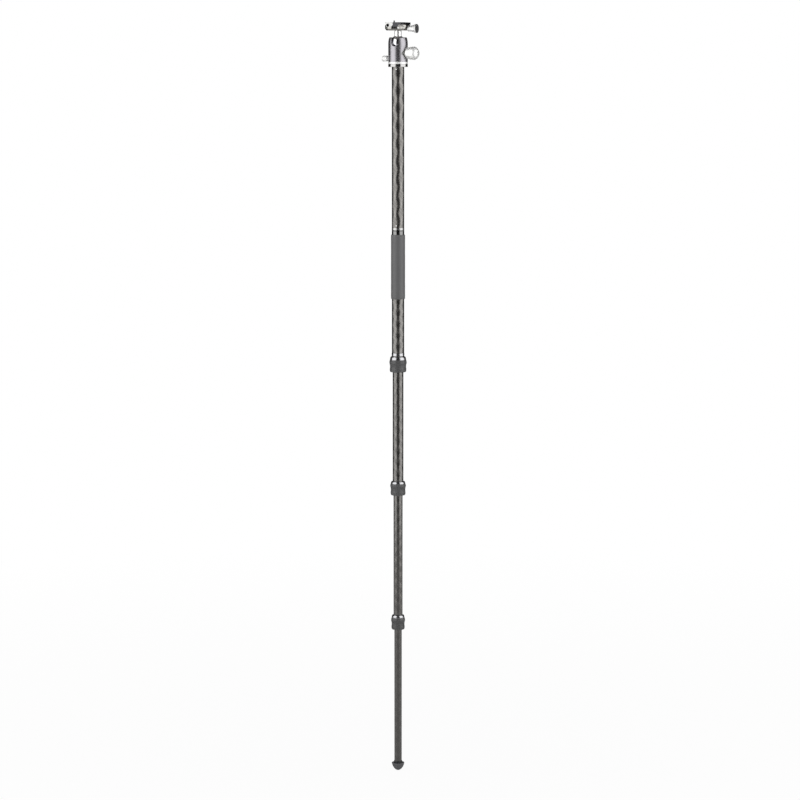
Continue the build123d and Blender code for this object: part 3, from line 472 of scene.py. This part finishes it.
def lathe(name, outline, steps=96, axis_height=None):
    """Spin a closed outline about Z, or about the line along X at axis_height."""
    if axis_height is None:
        points = [Vector((radius, 0, height)) * MM for radius, height in outline]
        centre, axis = (0, 0, 0), (0, 0, 1)
    else:
        points = [Vector((along, 0, axis_height + radius)) * MM for radius, along in outline]
        centre, axis = (0, 0, axis_height * MM), (1, 0, 0)
    piece = draw_outline(name, points)
    bpy.ops.mesh.spin(steps=steps, angle=2 * pi, center=centre, axis=axis)
    bpy.ops.mesh.select_all(action="SELECT")
    bpy.ops.mesh.remove_doubles(threshold=1e-6)
    bpy.ops.mesh.normals_make_consistent(inside=False)
    bpy.ops.object.mode_set(mode="OBJECT")
    bpy.ops.object.transform_apply(location=True, rotation=True, scale=True)
    return piece


print("lathe ready")


# %% Choosing, insetting and finishing
def select_faces(piece, wanted):
    """Select the faces for which wanted(centre, normal) is true, ready for edit mode."""
    only(piece)
    bpy.ops.object.mode_set(mode="EDIT")
    bpy.ops.mesh.select_all(action="DESELECT")
    bpy.ops.mesh.select_mode(type="FACE")
    bpy.ops.object.mode_set(mode="OBJECT")
    for face in piece.data.polygons:
        face.select = wanted(face.center, face.normal)
    return sum(face.select for face in piece.data.polygons)


def inset(thickness, depth, even=False):
    """Inset the chosen faces and move them along their normals, in millimetres."""
    bpy.ops.object.mode_set(mode="EDIT")
    bpy.ops.mesh.inset(thickness=thickness * MM, depth=depth * MM, use_even_offset=even)
    bpy.ops.object.mode_set(mode="OBJECT")


def curve_points(start, middle, end, count):
    """Points on a smooth bow through start, middle and end, without start."""
    bow = (start, middle, end)
    line = []
    for step in range(1, count + 1):
        t = step / count
        weights = ((1 - t) * (1 - 2 * t), 4 * t * (1 - t), t * (2 * t - 1))
        line.append(tuple(sum(w * p[i] for w, p in zip(weights, bow)) for i in (0, 1)))
    return line


def finish_piece(piece, material, body, replaced=(), smooth=35):
    """Give a piece its material, its body and slot, and the nodes it stands in for."""
    only(piece)
    piece.data.materials.clear()
    piece.data.materials.append(material)
    bpy.ops.object.shade_smooth_by_angle(angle=radians(smooth))
    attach(piece, body)
    if replaced:
        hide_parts(*replaced)
    print(piece.name, "has", len(piece.data.polygons), "faces")


print("pieces can be chosen from, inset and finished")

# %% [markdown]
# ## Lock grips
# Each twist lock has a rubber grip moulded round its collar. It swells at the top, has a
# waist, and carries fine upright ribs that fingers hold on to. The grip is turned as one
# ring, and then two columns of its faces in every four are inset and pushed out as a rib.

# %% Turned and ribbed lock grips
GRIP_HEIGHT = 19.3
LOCKS = (  # number, radius of the tube above, of the tube below, bottom, top, ribs
    (1, 12.5, 10.9, 828.5, 860.5, 40),
    (2, 10.9, 9.3, 575.5, 604.5, 36),
    (3, 9.3, 7.7, 296.5, 327.0, 32),
)


def cone_start(low, high):
    """The height where a lock's rubber ends and its glossy shoulder starts."""
    return high - 0.55 * (high - low - GRIP_HEIGHT)


def lock_grip(number, upper, low, high, ribs):
    """The rubber of one lock: down its bowed outside, round its lower edge and up its bore."""
    cone = cone_start(low, high)
    swell = low + GRIP_HEIGHT
    sleeve = upper + 2.85
    outline = [(sleeve, cone), (upper + 3.65, cone)]
    bows = (
        ((upper + 4.75, swell + 0.2), (upper + 3.95, swell - 3.9), 8),
        ((upper + 3.55, swell - 8.2), (upper + 3.8, swell - 12.0), 6),
        ((upper + 4.0, swell - 14.4), (upper + 3.75, low + 1.6), 6),
        ((upper + 3.5, low + 0.5), (upper + 3.05, low), 4),
    )
    for middle, end, count in bows:
        outline += curve_points(outline[-1], middle, end, count)
    outline += [(sleeve, low + 0.6)]
    grip = lathe(f"ribbed_lock_grip_{number}", outline, steps=4 * ribs)
    turned = 2 * pi / ribs

    def on_rib(centre, normal):
        outward = Vector((centre.x, centre.y, 0)).normalized()
        facing = normal.dot(outward) > 0.5 and centre.xy.length > (sleeve + 0.3) * MM
        angle = Vector((centre.x, centre.y)).angle_signed(Vector((1, 0))) % turned
        in_band = (low + 1.6) * MM < centre.z < (cone - 0.5) * MM
        return facing and in_band and angle < turned * 0.5

    chosen = select_faces(grip, on_rib)
    inset(0.10, 0.30)
    print("ribs from", chosen, "faces")
    finish_piece(grip, grip_rubber, f"lock_{number}", [f"lock_{number}_grip"])


for number, above, below, bottom, top, ribs in LOCKS:
    lock_grip(number, above, bottom, top, ribs)

# %% [markdown]
# ## Lock collars
# Above its rubber each lock shows a glossy collar. A plain cone would reflect one flat band,
# while a rounded shoulder gathers the lights into the small bright ovals of the photograph
# and lets its top go dark. The bore inside is stepped, as in the drawing, and clears the collet.

# %% Turned lock collars
def lock_collar(number, upper, lower, low, high):
    """The collar of one lock: up its outside, over its shoulder and down its stepped bore."""
    cone = cone_start(low, high)
    rise = high - cone
    outline = [(lower + 0.25, low), (upper + 2.25, low), (upper + 2.85, low + 0.6)]
    outline += [(upper + 2.85, cone), (upper + 3.75, cone)]
    bow = (upper + 3.05, cone + 0.66 * rise)
    outline += curve_points(outline[-1], bow, (upper + 0.75, high), 14)
    outline += [(upper + 0.12, high), (upper + 0.12, high - 3.6), (upper + 1.95, high - 3.6)]
    outline += [(upper + 1.95, high - 22.8), (upper + 0.3, high - 22.8)]
    outline += [(lower + 1.2, low + 3.3), (lower + 0.25, low + 3.3)]
    collar = lathe(f"glossy_lock_collar_{number}", outline)
    finish_piece(collar, lock_metal, f"lock_{number}", [f"lock_{number}_sleeve"])


for number, above, below, bottom, top, ribs in LOCKS:
    lock_collar(number, above, below, bottom, top)

# %% [markdown]
# ## Ring and collar of the upper tube
# A polished ring is bonded round the upper tube just above its lock, and a black collar with
# one V groove closes the tube's top. Both could be rings cut from a pipe, but the lathe
# makes the groove, the broken edges and the stepped spigot inside in one outline.

# %% Turned ring and collar
ring_line = [(12.5, 861.6), (12.7, 861.6), (12.9, 861.8)]
ring_line += [(12.9, 866.8), (12.7, 867.0), (12.5, 867.0)]
tube_ring = lathe("polished_tube_ring", ring_line)
finish_piece(tube_ring, lock_metal, "leg_1")

collar_line = [(4.76, 1097.0), (11.3, 1097.0), (11.3, 1107.5), (12.6, 1107.5), (12.6, 1114.5)]
collar_line += [(12.1, 1115.0), (12.6, 1115.5), (12.6, 1116.7), (12.3, 1117.0), (4.76, 1117.0)]
collar = lathe("grooved_top_collar", collar_line)
finish_piece(collar, collar_metal, "leg_1", ["leg_top_fitting"])

# %% [markdown]
# ## Knobs
# The big knob is a fat barrel that tapers back into the housing's recess, and the clamp's knob
# flares like a trumpet and ends in a dished cap. All three are turned on the lathe about
# their own axes. Narrow flutes are sunk into the barrel for the fingers: one column of faces
# in every six is inset and pushed in.

# %% Turned knobs
MAIN_KNOB_AXIS, CLAMP_SCREW_AXIS = 1470.7, 1519.7188


def flute(piece, axis_height, columns, low_x, high_x, least_radius, depth):
    """Sink narrow grooves along a knob that lies along X."""
    turned = 2 * pi / columns

    def on_flute(centre, normal):
        across = Vector((centre.y, centre.z - axis_height * MM))
        outward = normal.y * across.x + normal.z * across.y > 0.5 * across.length
        inside = low_x * MM < centre.x < high_x * MM and across.length > least_radius * MM
        angle = across.angle_signed(Vector((1, 0))) % turned
        return outward and inside and angle < turned / 6

    chosen = select_faces(piece, on_flute)
    inset(0.12, -depth)
    print(piece.name, "flutes from", chosen, "faces")


barrel = [(4.0, 37.0), (4.0, 17.2), (6.4, 17.2), (7.0, 17.4), (11.0, 19.9)]
barrel += curve_points((11.0, 19.9), (12.3, 26.4), (13.05, 34.3), 12)
barrel += [(13.2, 34.8), (13.2, 35.9), (12.9, 36.6), (12.4, 37.0)]
main_knob = lathe("barrel_knob", barrel, axis_height=MAIN_KNOB_AXIS)
flute(main_knob, MAIN_KNOB_AXIS, columns=16, low_x=21.5, high_x=33.5, least_radius=11.0, depth=0.45)
finish_piece(main_knob, silver_along_x, "main_knob", ["main_knob"])

trumpet = [(2.45, 40.0), (2.45, 21.7), (4.6, 21.7), (4.6, 22.4), (5.5, 22.4), (5.8, 22.7)]
trumpet += [(5.8, 25.4)] + curve_points((5.8, 25.4), (6.7, 32.9), (9.2, 38.8), 14)
trumpet += [(9.2, 39.5), (8.9, 40.0)]
clamp_knob = lathe("trumpet_knob", trumpet, axis_height=CLAMP_SCREW_AXIS)
finish_piece(clamp_knob, silver_along_x, "clamp_knob", ["clamp_knob"])

cap_line = [(1.6, 40.0), (8.9, 40.0), (8.8, 41.2), (8.5, 41.6), (8.0, 41.7)]
cap_line += curve_points((8.0, 41.7), (5.4, 41.3), (2.6, 41.2), 8) + [(1.6, 41.2)]
knob_cap = lathe("dished_knob_cap", cap_line, axis_height=CLAMP_SCREW_AXIS)
finish_piece(knob_cap, cap_metal, "clamp_knob", ["clamp_knob_cap"])

# %% [markdown]
# ## Foam grip
# The foam sleeve is slid over the upper tube and its ends are rolled in. It isn't perfectly
# straight: foam creeps a little where it was pulled on, so its outline wanders by a tenth
# of a millimetre.

# %% Foam sleeve
foam_low, foam_high = 977.0, 1107.5
foam_line = [(12.55, foam_low + 0.3), (13.1, foam_low)]
foam_line += [(13.75, foam_low + 0.35), (14.1, foam_low + 1.2)]
for step in range(1, 24):
    height = foam_low + 1.2 + (foam_high - foam_low - 2.4) * step / 24
    foam_line.append((14.2 + 0.07 * sin(step * 1.7) + 0.04 * sin(step * 0.6), height))
foam_line += [(14.1, foam_high - 1.2), (13.75, foam_high - 0.35)]
foam_line += [(13.1, foam_high), (12.55, foam_high - 0.3)]
foam_sleeve = lathe("foam_sleeve", foam_line)
finish_piece(foam_sleeve, grip_foam, "leg_1", ["foam_grip"])

# %% [markdown]
# ## Foot
# The foot is a thick rubber cup on a hard core that holds the tube. Two grooves run round it
# where the rubber is meant to flex, a rounded lip closes its top, and its tip is flat.

# %% Rubber foot
foot_line = [(0, 0), (3.0, 0)]
foot_line += curve_points((3.0, 0), (9.2, 5.35), (12.85, 14.2), 22)
foot_line += [(12.95, 14.8), (12.8, 15.4), (12.35, 15.75), (11.9, 15.6), (11.5, 15.1)]
foot_line += [(11.1, 14.75), (10.2, 14.7), (9.3, 14.75), (8.75, 14.8), (8.45, 14.6)]
foot_line += [(8.45, 7.0), (3.05, 7.0), (3.05, 4.05), (0, 4.05)]
print("foot outline points:", len(foot_line))


def with_groove(line, height, depth, half):
    """Sink a small round-bottomed groove into the cup's outside at one height."""
    grooved = []
    for radius, z in line:
        away = abs(z - height) / half
        if away < 1 and radius > 8.9:
            radius -= depth * cos(away * pi / 2)
        grooved.append((radius, z))
    return grooved


foot_line = with_groove(foot_line, 5.9, 0.7, 0.7)
foot_line = with_groove(foot_line, 9.8, 0.6, 0.7)
foot = lathe("rubber_foot", foot_line)
finish_piece(foot, foot_rubber_finish, "leg_4", ["foot_rubber"])

core_line = [(0, 4.0), (3.0, 4.0), (3.0, 7.0), (8.4, 7.0), (8.4, 19.7), (8.1, 20.0)]
core_line += [(7.7, 20.0), (7.7, 9.0), (3.0, 9.0), (3.0, 16.0), (0, 16.0)]
core = lathe("tube_socket", core_line)
finish_piece(core, black_plastic, "leg_4", ["foot_core"])

# %% [markdown]
# ## Rubber pad
# The plate's top is a thin rubber pad that keeps the camera from turning. It starts as a flat
# block with rounded corners, and grooves are cut across it with one bar that an array repeats.
# The camera screw's slot and the pin's hole are cut the same way, and so is, further down, a
# notch for the strap eye. A boolean costs more time than drawing the faces, but every wall
# comes out straight and the piece stays closed.

# %% Blocks and cutters
def block(name, size, centre, turned=0):
    """A block in millimetres, turned about its upright axis, with its place kept in the mesh."""
    bpy.ops.object.select_all(action="DESELECT")
    bpy.ops.mesh.primitive_cube_add(size=MM, location=Vector(centre) * MM)
    piece = bpy.context.object
    piece.name = name
    piece.scale = size
    piece.rotation_euler = (0, 0, radians(turned))
    bpy.ops.object.transform_apply(location=True, rotation=True, scale=True)
    return piece


def peg(name, radius, length, centre, vertices=48, lying=None):
    """A round bar in millimetres, upright, or lying along X or Y."""
    bpy.ops.object.select_all(action="DESELECT")
    bpy.ops.mesh.primitive_cylinder_add(
        vertices=vertices, radius=radius * MM, depth=length * MM, location=Vector(centre) * MM
    )
    piece = bpy.context.object
    piece.name = name
    piece.rotation_euler = {None: (0, 0, 0), "X": (0, pi / 2, 0), "Y": (pi / 2, 0, 0)}[lying]
    bpy.ops.object.transform_apply(location=True, rotation=True, scale=True)
    return piece


def slab(name, corners, along):
    """A flat shape with these corners, pushed along one direction, in millimetres."""
    piece = draw_outline(name, [Vector(corner) * MM for corner in corners])
    bpy.ops.mesh.edge_face_add()
    bpy.ops.mesh.extrude_region_move(TRANSFORM_OT_translate={"value": Vector(along) * MM})
    bpy.ops.mesh.select_all(action="SELECT")
    bpy.ops.mesh.normals_make_consistent(inside=False)
    bpy.ops.object.mode_set(mode="OBJECT")
    bpy.ops.object.transform_apply(location=True, rotation=True, scale=True)
    return piece


def cut(piece, cutter, operation="DIFFERENCE"):
    """Take a cutter's shape out of a piece, or join them, or keep what both share."""
    only(piece)
    step = piece.modifiers.new("cut", "BOOLEAN")
    step.operation = operation
    step.solver = "EXACT"
    step.object = cutter
    bpy.ops.object.modifier_apply(modifier="cut")
    only(cutter)
    bpy.ops.object.delete()


print("blocks and cutters ready")


# %% Edges and rows
def choose_edges(piece, wanted):
    """Select the edges for which wanted(start, end) is true, ready for edit mode."""
    only(piece)
    bpy.ops.object.mode_set(mode="EDIT")
    bpy.ops.mesh.select_all(action="DESELECT")
    bpy.ops.mesh.select_mode(type="EDGE")
    bpy.ops.object.mode_set(mode="OBJECT")
    points = piece.data.vertices
    for edge in piece.data.edges:
        edge.select = wanted(points[edge.vertices[0]].co, points[edge.vertices[1]].co)
    return sum(edge.select for edge in piece.data.edges)


def round_edges(radius, segments):
    """Round the chosen edges, in millimetres."""
    bpy.ops.object.mode_set(mode="EDIT")
    bpy.ops.mesh.bevel(offset=radius * MM, segments=segments, affect="EDGES")
    bpy.ops.object.mode_set(mode="OBJECT")


def soften(piece, width):
    """Break the sharp edges, as a mill's deburring does."""
    only(piece)
    step = piece.modifiers.new("soften", "BEVEL")
    step.width = width * MM
    step.segments = 2
    step.limit_method = "ANGLE"
    step.angle_limit = radians(30)
    bpy.ops.object.modifier_apply(modifier="soften")


def row_along_y(piece, count, spacing):
    """Repeat a piece along Y, in millimetres."""
    only(piece)
    row = piece.modifiers.new("row", "ARRAY")
    row.use_relative_offset = False
    row.use_constant_offset = True
    row.constant_offset_displace = (0, spacing * MM, 0)
    row.count = count
    bpy.ops.object.modifier_apply(modifier="row")


print("edges and rows ready")

# %% Grooved pad
pad_low, pad_high = 1530.6188, 1532.0188
pad_centre = (0, 0, (pad_low + pad_high) / 2)
pad = block("grooved_plate_pad", (38.4, 45.0, pad_high - pad_low), pad_centre)
corners = choose_edges(pad, lambda a, b: abs(a.z - b.z) > 0.001)
round_edges(4.0, 10)
rim = choose_edges(pad, lambda a, b: min(a.z, b.z) > (pad_high - 0.01) * MM)
round_edges(0.3, 3)
print("rounded", corners, "corners and", rim, "rim edges")

bar = block("groove_bar", (60.0, 0.8, 1.2), (0, -20.7, pad_high + 0.1))
row_along_y(bar, 19, 2.3)
cut(pad, bar)

# a round bar becomes the slot's cutter when its two halves are drawn apart
slot = peg("screw_slot", 3.575, 6.0, (0, 0, pad_high))
for side in (-1, 1):
    select_faces(slot, lambda centre, normal: False)
    for point in slot.data.vertices:
        point.select = point.co.y * side > 1e-6
    bpy.ops.object.mode_set(mode="EDIT")
    bpy.ops.mesh.select_mode(type="VERT")
    bpy.ops.transform.translate(value=(0, side * 8.0 * MM, 0))
    bpy.ops.object.mode_set(mode="OBJECT")
cut(pad, slot)
cut(pad, peg("pin_hole", 1.45, 6.0, (0, -20.0, pad_high)))
finish_piece(pad, pad_rubber, "plate", ["plate_pad"], smooth=15)

# %% [markdown]
# ## Clamp
# The clamp is milled from bar: a long dovetail profile, with its corners cut off and a bevel
# round its underside. So each half is a profile pushed along Y, and what it shares with an
# eight-cornered block, whose underside is inset and pushed down, gives it both.

# %% Clamp shape
clamp_low, clamp_floor, clamp_high = 1515.9688, 1523.0188, 1526.9188
clamp_bevel = 3.4
vial_x, vial_height = -19.5, 1520.5688
stop_x, stop_height = 9.1, 1521.0188
pin_sides = (-9.0, 9.0)


def clamp_envelope():
    """The block with cut corners and a bevelled underside that both halves fit in."""
    plan = [(-23.5, -11), (-14.5, -20), (12.6, -20), (21.6, -11)]
    plan += [(21.6, 11), (12.6, 20), (-14.5, 20), (-23.5, 11)]
    underside = [(x, y, clamp_low + clamp_bevel) for x, y in plan]
    envelope = slab("clamp_envelope", underside, (0, 0, 9.0))
    select_faces(envelope, lambda centre, normal: normal.z < -0.5)
    inset(2.65, clamp_bevel, even=True)
    return envelope


def clamp_half(name, profile):
    half = slab(name, [(x, -21.0, z) for x, z in profile], (0, 42.0, 0))
    cut(half, clamp_envelope(), "INTERSECT")
    return half


print("clamp", round(clamp_high - clamp_low, 2), "mm high")

# %% Clamp body
lip, land, split = 16.85, 19.25, 15.9
body_line = [(-24.5, clamp_low), (split, clamp_low), (split, clamp_floor), (-land, clamp_floor)]
body_line += [(-land, clamp_floor + 1.0), (-lip, clamp_high - 0.5), (-lip, clamp_high)]
body_line += [(-22.3, clamp_high), (-24.5, clamp_high - 2.2)]
clamp = clamp_half("clamp_with_fixed_jaw", body_line)
cut(clamp, block("relief_cutter", (13.0, 44.0, 4.0), (0, 0, clamp_floor)))
cut(clamp, peg("head_hole", 5.0, 8.0, (0, 0, 1521.5188)))
cut(clamp, peg("thread_hole", 3.05, 20.0, (0, 0, 1517.0)))
cut(clamp, peg("spindle_hole", 2.5, 20.0, (17.0, 0, CLAMP_SCREW_AXIS), lying="X"))
cut(clamp, peg("vial_hole", 2.2, 50.0, (vial_x, 0, vial_height), 32, lying="Y"))
cut(clamp, peg("stop_hole", 1.6, 12.0, (stop_x, -20.0, stop_height), 32, lying="Y"))
for side in pin_sides:
    cut(clamp, peg("pin_hole", 1.5, 20.0, (13.0, side, CLAMP_SCREW_AXIS), 32, lying="X"))
# the pocket for the black block that paints the shade of the clamp's front recess
cut(clamp, block("shade_cover_pocket", (13.4, 5.0, 2.4), (0.3, -17.6, 1519.85)))
soften(clamp, 0.18)
finish_piece(clamp, clamp_metal, "clamp", ["clamp_body"], smooth=15)

# %% Moving jaw
jaw_start = split + 0.2
jaw_line = [(jaw_start, clamp_low), (17.6, clamp_low), (21.6, clamp_floor + 1.0)]
jaw_line += [(21.6, clamp_high - 0.8), (20.8, clamp_high), (lip, clamp_high)]
jaw_line += [(lip, clamp_high - 0.5), (land, clamp_floor + 1.0)]
jaw_line += [(land, clamp_floor), (jaw_start, clamp_floor)]
jaw = clamp_half("moving_jaw", jaw_line)
cut(jaw, peg("spindle_boss", 3.72, 3.6, (19.8, 0, CLAMP_SCREW_AXIS), lying="X"), "UNION")
cut(jaw, peg("spindle_hole", 2.5, 20.0, (19.0, 0, CLAMP_SCREW_AXIS), lying="X"))
for side in pin_sides:
    cut(jaw, peg("pin_hole", 1.55, 20.0, (7.8, side, CLAMP_SCREW_AXIS), 32, lying="X"))
soften(jaw, 0.18)
finish_piece(jaw, clamp_metal, "clamp_jaw", ["clamp_jaw"], smooth=15)

# %% [markdown]
# ## Small parts of the clamp
# Two guide pins keep the jaw square, a short spirit tube lies in the fixed jaw, and one
# socket screw sits in the front. They are turned or drilled like the big parts, and the
# second pin is an array's copy of the first.

# %% Pins, vial and stop screw
pin_line = [(0, 3.0), (1.5, 3.0), (1.5, 16.6), (1.1, 17.0), (0, 17.0)]
pins = lathe("jaw_guide_pins", pin_line, 32, CLAMP_SCREW_AXIS)
bpy.ops.object.mode_set(mode="EDIT")
bpy.ops.mesh.select_all(action="SELECT")
bpy.ops.transform.translate(value=(0, pin_sides[0] * MM, 0))
bpy.ops.object.mode_set(mode="OBJECT")
row_along_y(pins, 2, pin_sides[1] - pin_sides[0])
finish_piece(pins, steel, "clamp", ["clamp_guide_pins"])

tube = peg("spirit_tube", 2.2, 24.8, (vial_x, 0, vial_height), 32, lying="Y")
soften(tube, 0.4)
finish_piece(tube, vial_green, "clamp", ["level_vial"], smooth=15)

stop_screw = peg("stop_screw", 1.6, 6.4, (stop_x, -17.6, stop_height), 32, lying="Y")
cut(stop_screw, peg("hex_socket", 0.95, 1.4, (stop_x, -20.8, stop_height), 6, lying="Y"))
soften(stop_screw, 0.1)
finish_piece(stop_screw, steel, "clamp", smooth=15)

# %% [markdown]
# The dark patch on the clamp's front is partly taken for a black moulding over the spring of the
# plate's safety stop and partly painted shade for the recess there. It is a block sunk into the
# clamp, with two grooves cut along its face.

# %% Spring cover and painted shade
# a black block, painted shade for the recess in the clamp's front
shade_cover = block("painted_shade_cover", (13.2, 4.6, 2.2), (0.3, -17.5, 1519.75))
soften(shade_cover, 0.35)
for height in (1519.2, 1520.1):
    cut(shade_cover, block("shade_cover_groove", (14.0, 0.8, 0.3), (0.3, -19.8, height)))
finish_piece(shade_cover, black_plastic, "clamp", smooth=15)

# %% [markdown]
# ## Plate
# The plate's profile is already right in the drawing, so its own mesh is copied and merged,
# and only what the photograph adds is cut: its lower corners, which follow the clamp's cut
# corners, and a step in its front left. The light patch with a dark spot there is taken for
# a satin strap eye: a slab with a round hole, and a small screw in it.

# %% Plate with its cut corners and front pocket
only(nodes["plate_body"])
bpy.ops.object.duplicate()
plate = bpy.context.object
plate.name = "plate_with_pocket"
bpy.ops.object.parent_clear(type="CLEAR_KEEP_TRANSFORM")
bpy.ops.object.transform_apply(location=True, rotation=True, scale=True)
bpy.ops.object.mode_set(mode="EDIT")
bpy.ops.mesh.select_mode(type="VERT")
bpy.ops.mesh.select_all(action="SELECT")
bpy.ops.mesh.remove_doubles(threshold=1e-6)
bpy.ops.object.mode_set(mode="OBJECT")
# each cutter is a block turned by 45 degrees, whose near face cuts a corner off
for across, along in ((25.9, 25.9), (25.9, -25.9), (-26.85, 26.85), (-26.85, -26.85)):
    cut(plate, block("corner_cutter", (28.0, 28.0, 14.0), (across, along, 1520.2188), turned=45))
cut(plate, block("eye_step", (17.2, 6.0, 12.0), (-10.7, -22.5, 1526.5)))
cut(plate, block("front_pocket", (5.2, 13.0, 5.4), (-13.0, -22.5, 1526.1188)))
finish_piece(plate, plate_metal, "plate", ["plate_body"], smooth=24)

# %% Strap eye
eye_line = [(-16.5, 1523.1188), (-5.6, 1523.1188), (-2.1, 1526.6), (-2.1, 1531.9), (-16.6, 1531.9)]
eye_line += [(-18.4, 1530.2), (-18.4, 1527.3), (-16.5, 1527.3)]
eye = slab("strap_eye", [(x, -22.45, z) for x, z in eye_line], (0, 2.9, 0))
cut(eye, peg("eye_hole", 3.0, 8.0, (-13.0, -21.0, 1526.3188), lying="Y"))
soften(eye, 0.5)
finish_piece(eye, eye_metal, "plate", smooth=15)

plate_screw = peg("plate_screw", 1.2, 1.2, (-5.9, -21.9, 1528.2), 32, lying="Y")
cut(plate_screw, peg("hex_socket", 0.65, 1.0, (-5.9, -22.5, 1528.2), 6, lying="Y"))
soften(plate_screw, 0.1)
finish_piece(plate_screw, steel, "plate", smooth=15)
cut(pad, block("eye_notch", (17.4, 6.0, 4.0), (-10.8, -22.5, 1531.8)))
print("strap eye stands in the plate's step")

# %% [markdown]
# ## Floor, backdrop and lights
# The photograph has a white background and two tall soft lights, one each side: they
# draw the two bright stripes on every tube and leave its middle dark. The white comes
# from what the camera sees of the world and the floor, and not from more light.
# Black flags, as photographers hang them, keep the middle and edges of the metal dark.

# %% Floor
bpy.ops.object.select_all(action="DESELECT")
bpy.ops.mesh.primitive_circle_add(vertices=128, radius=3.2, fill_type="NGON", location=(0, 0, 0))
floor = bpy.context.object
floor.name = "floor"
# to the camera the floor shines white, so that it can't be told from the world behind it
pale = Finish("pale_floor", (0.82, 0.82, 0.82), 0.7)
fx, fy, _ = pale.parts(pale.place())
out = pale.ramp(fx.maths("SQRT", fx * fx + fy * fy), 0.25, 2.6)
rays = pale.add("ShaderNodeLightPath", {}, {}, "Is Camera Ray")
white = pale.add("ShaderNodeEmission", {}, {"Color": (1, 1, 1, 1), "Strength": 1.0})
share = rays * (0.95 + out * 0.05)
plain = Wire(pale, pale.shader.outputs[0])
mixed = pale.add("ShaderNodeMixShader", {}, {0: share, 1: plain, 2: white})
pale.feed(pale.tree.nodes["Material Output"].inputs["Surface"], mixed)
floor.data.materials.append(pale.material)
print("floor", round(floor.dimensions.x, 2), "m across")

# %% World
world = bpy.data.worlds.new("studio_air")
world.use_nodes = True
bpy.context.scene.world = world
tree = world.node_tree
air = tree.nodes["Background"]
air.inputs["Color"].default_value = (1, 1, 1, 1)
path = tree.nodes.new("ShaderNodeLightPath")
seen = path.outputs["Is Camera Ray"]
for ray in ("Is Glossy Ray", "Is Transmission Ray"):
    either = tree.nodes.new("ShaderNodeMath")
    either.operation = "MAXIMUM"
    tree.links.new(seen, either.inputs[0])
    tree.links.new(path.outputs[ray], either.inputs[1])
    seen = either.outputs[0]
strength = tree.nodes.new("ShaderNodeMapRange")
strength.inputs["To Min"].default_value = 0.32
strength.inputs["To Max"].default_value = 1.0
tree.links.new(seen, strength.inputs["Value"])
tree.links.new(strength.outputs[0], air.inputs["Strength"])
print("world is white to the camera and in reflections, and dim as a diffuse light")


# %% Lights
def strip_light(name, side, turned, distance, width, height, centre, radiance):
    """A tall soft box, turned round the pole from the camera's side, facing the pole."""
    around = camera_turn + side * radians(turned)
    place = Vector((distance * sin(around), -distance * cos(around), centre))
    bpy.ops.object.select_all(action="DESELECT")
    bpy.ops.object.light_add(type="AREA", location=place)
    lamp = bpy.context.object
    lamp.name = name
    lamp.rotation_euler = (Vector((0, 0, centre)) - place).to_track_quat("-Z", "Y").to_euler()
    lamp.data.shape = "RECTANGLE"
    lamp.data.size = width
    lamp.data.size_y = height
    lamp.data.energy = radiance * pi * width * height
    lamp.visible_camera = False
    print(name, round(lamp.data.energy, 1), "W")


strip = {"distance": 2.0, "width": 2.8, "height": 3.9, "centre": 2.05, "radiance": 1.2}
strip_light("soft_strip_left", -1, 63, **strip)
strip_light("soft_strip_right", 1, 64, **strip)


# %% Flags
def only_in_reflections(wall):
    wall.visible_camera = False
    wall.visible_diffuse = False
    wall.visible_shadow = False
    wall.visible_transmission = False


def flag(name, middle, half_turn, distance, bottom, top, grey):
    """A dark curved wall that only reflections see."""
    bpy.ops.object.select_all(action="DESELECT")
    bpy.ops.mesh.primitive_plane_add(size=MM, location=(0, 0, 0))
    wall = bpy.context.object
    wall.name = name
    first = camera_turn + radians(middle + half_turn)
    bpy.ops.object.mode_set(mode="EDIT")
    bpy.ops.mesh.select_mode(type="VERT")
    bpy.ops.mesh.select_all(action="SELECT")
    bpy.ops.mesh.merge(type="CENTER")
    start = Vector((distance * sin(first), -distance * cos(first), bottom))
    bpy.ops.transform.translate(value=start)
    bpy.ops.mesh.extrude_region_move(TRANSFORM_OT_translate={"value": (0, 0, top - bottom)})
    bpy.ops.mesh.select_all(action="SELECT")
    bpy.ops.mesh.spin(steps=48, angle=2 * radians(half_turn), center=(0, 0, 0), axis=(0, 0, 1))
    bpy.ops.object.mode_set(mode="OBJECT")
    cloth = Finish(name + "_cloth", (grey, grey, grey), 1.0)
    wall.data.materials.append(cloth.material)
    only_in_reflections(wall)
    print(name, "spans", 2 * half_turn, "degrees")


cloth_wall = {"distance": 3.4, "bottom": -0.5, "top": 5.6, "grey": 0.04}
flag("front_flag", 0, 34, **cloth_wall)
flag("back_left_flag", -135, 39, **cloth_wall)
flag("back_right_flag", 135, 39, **cloth_wall)

bpy.ops.object.select_all(action="DESELECT")
bpy.ops.mesh.primitive_circle_add(vertices=64, radius=2.4, fill_type="NGON", location=(0, 0, 4.3))
ceiling = bpy.context.object
ceiling.name = "ceiling_flag"
ceiling.data.materials.append(Finish("ceiling_cloth", (0.05, 0.05, 0.05), 1.0).material)
only_in_reflections(ceiling)
print("ceiling flag", round(ceiling.dimensions.x, 2), "m across")
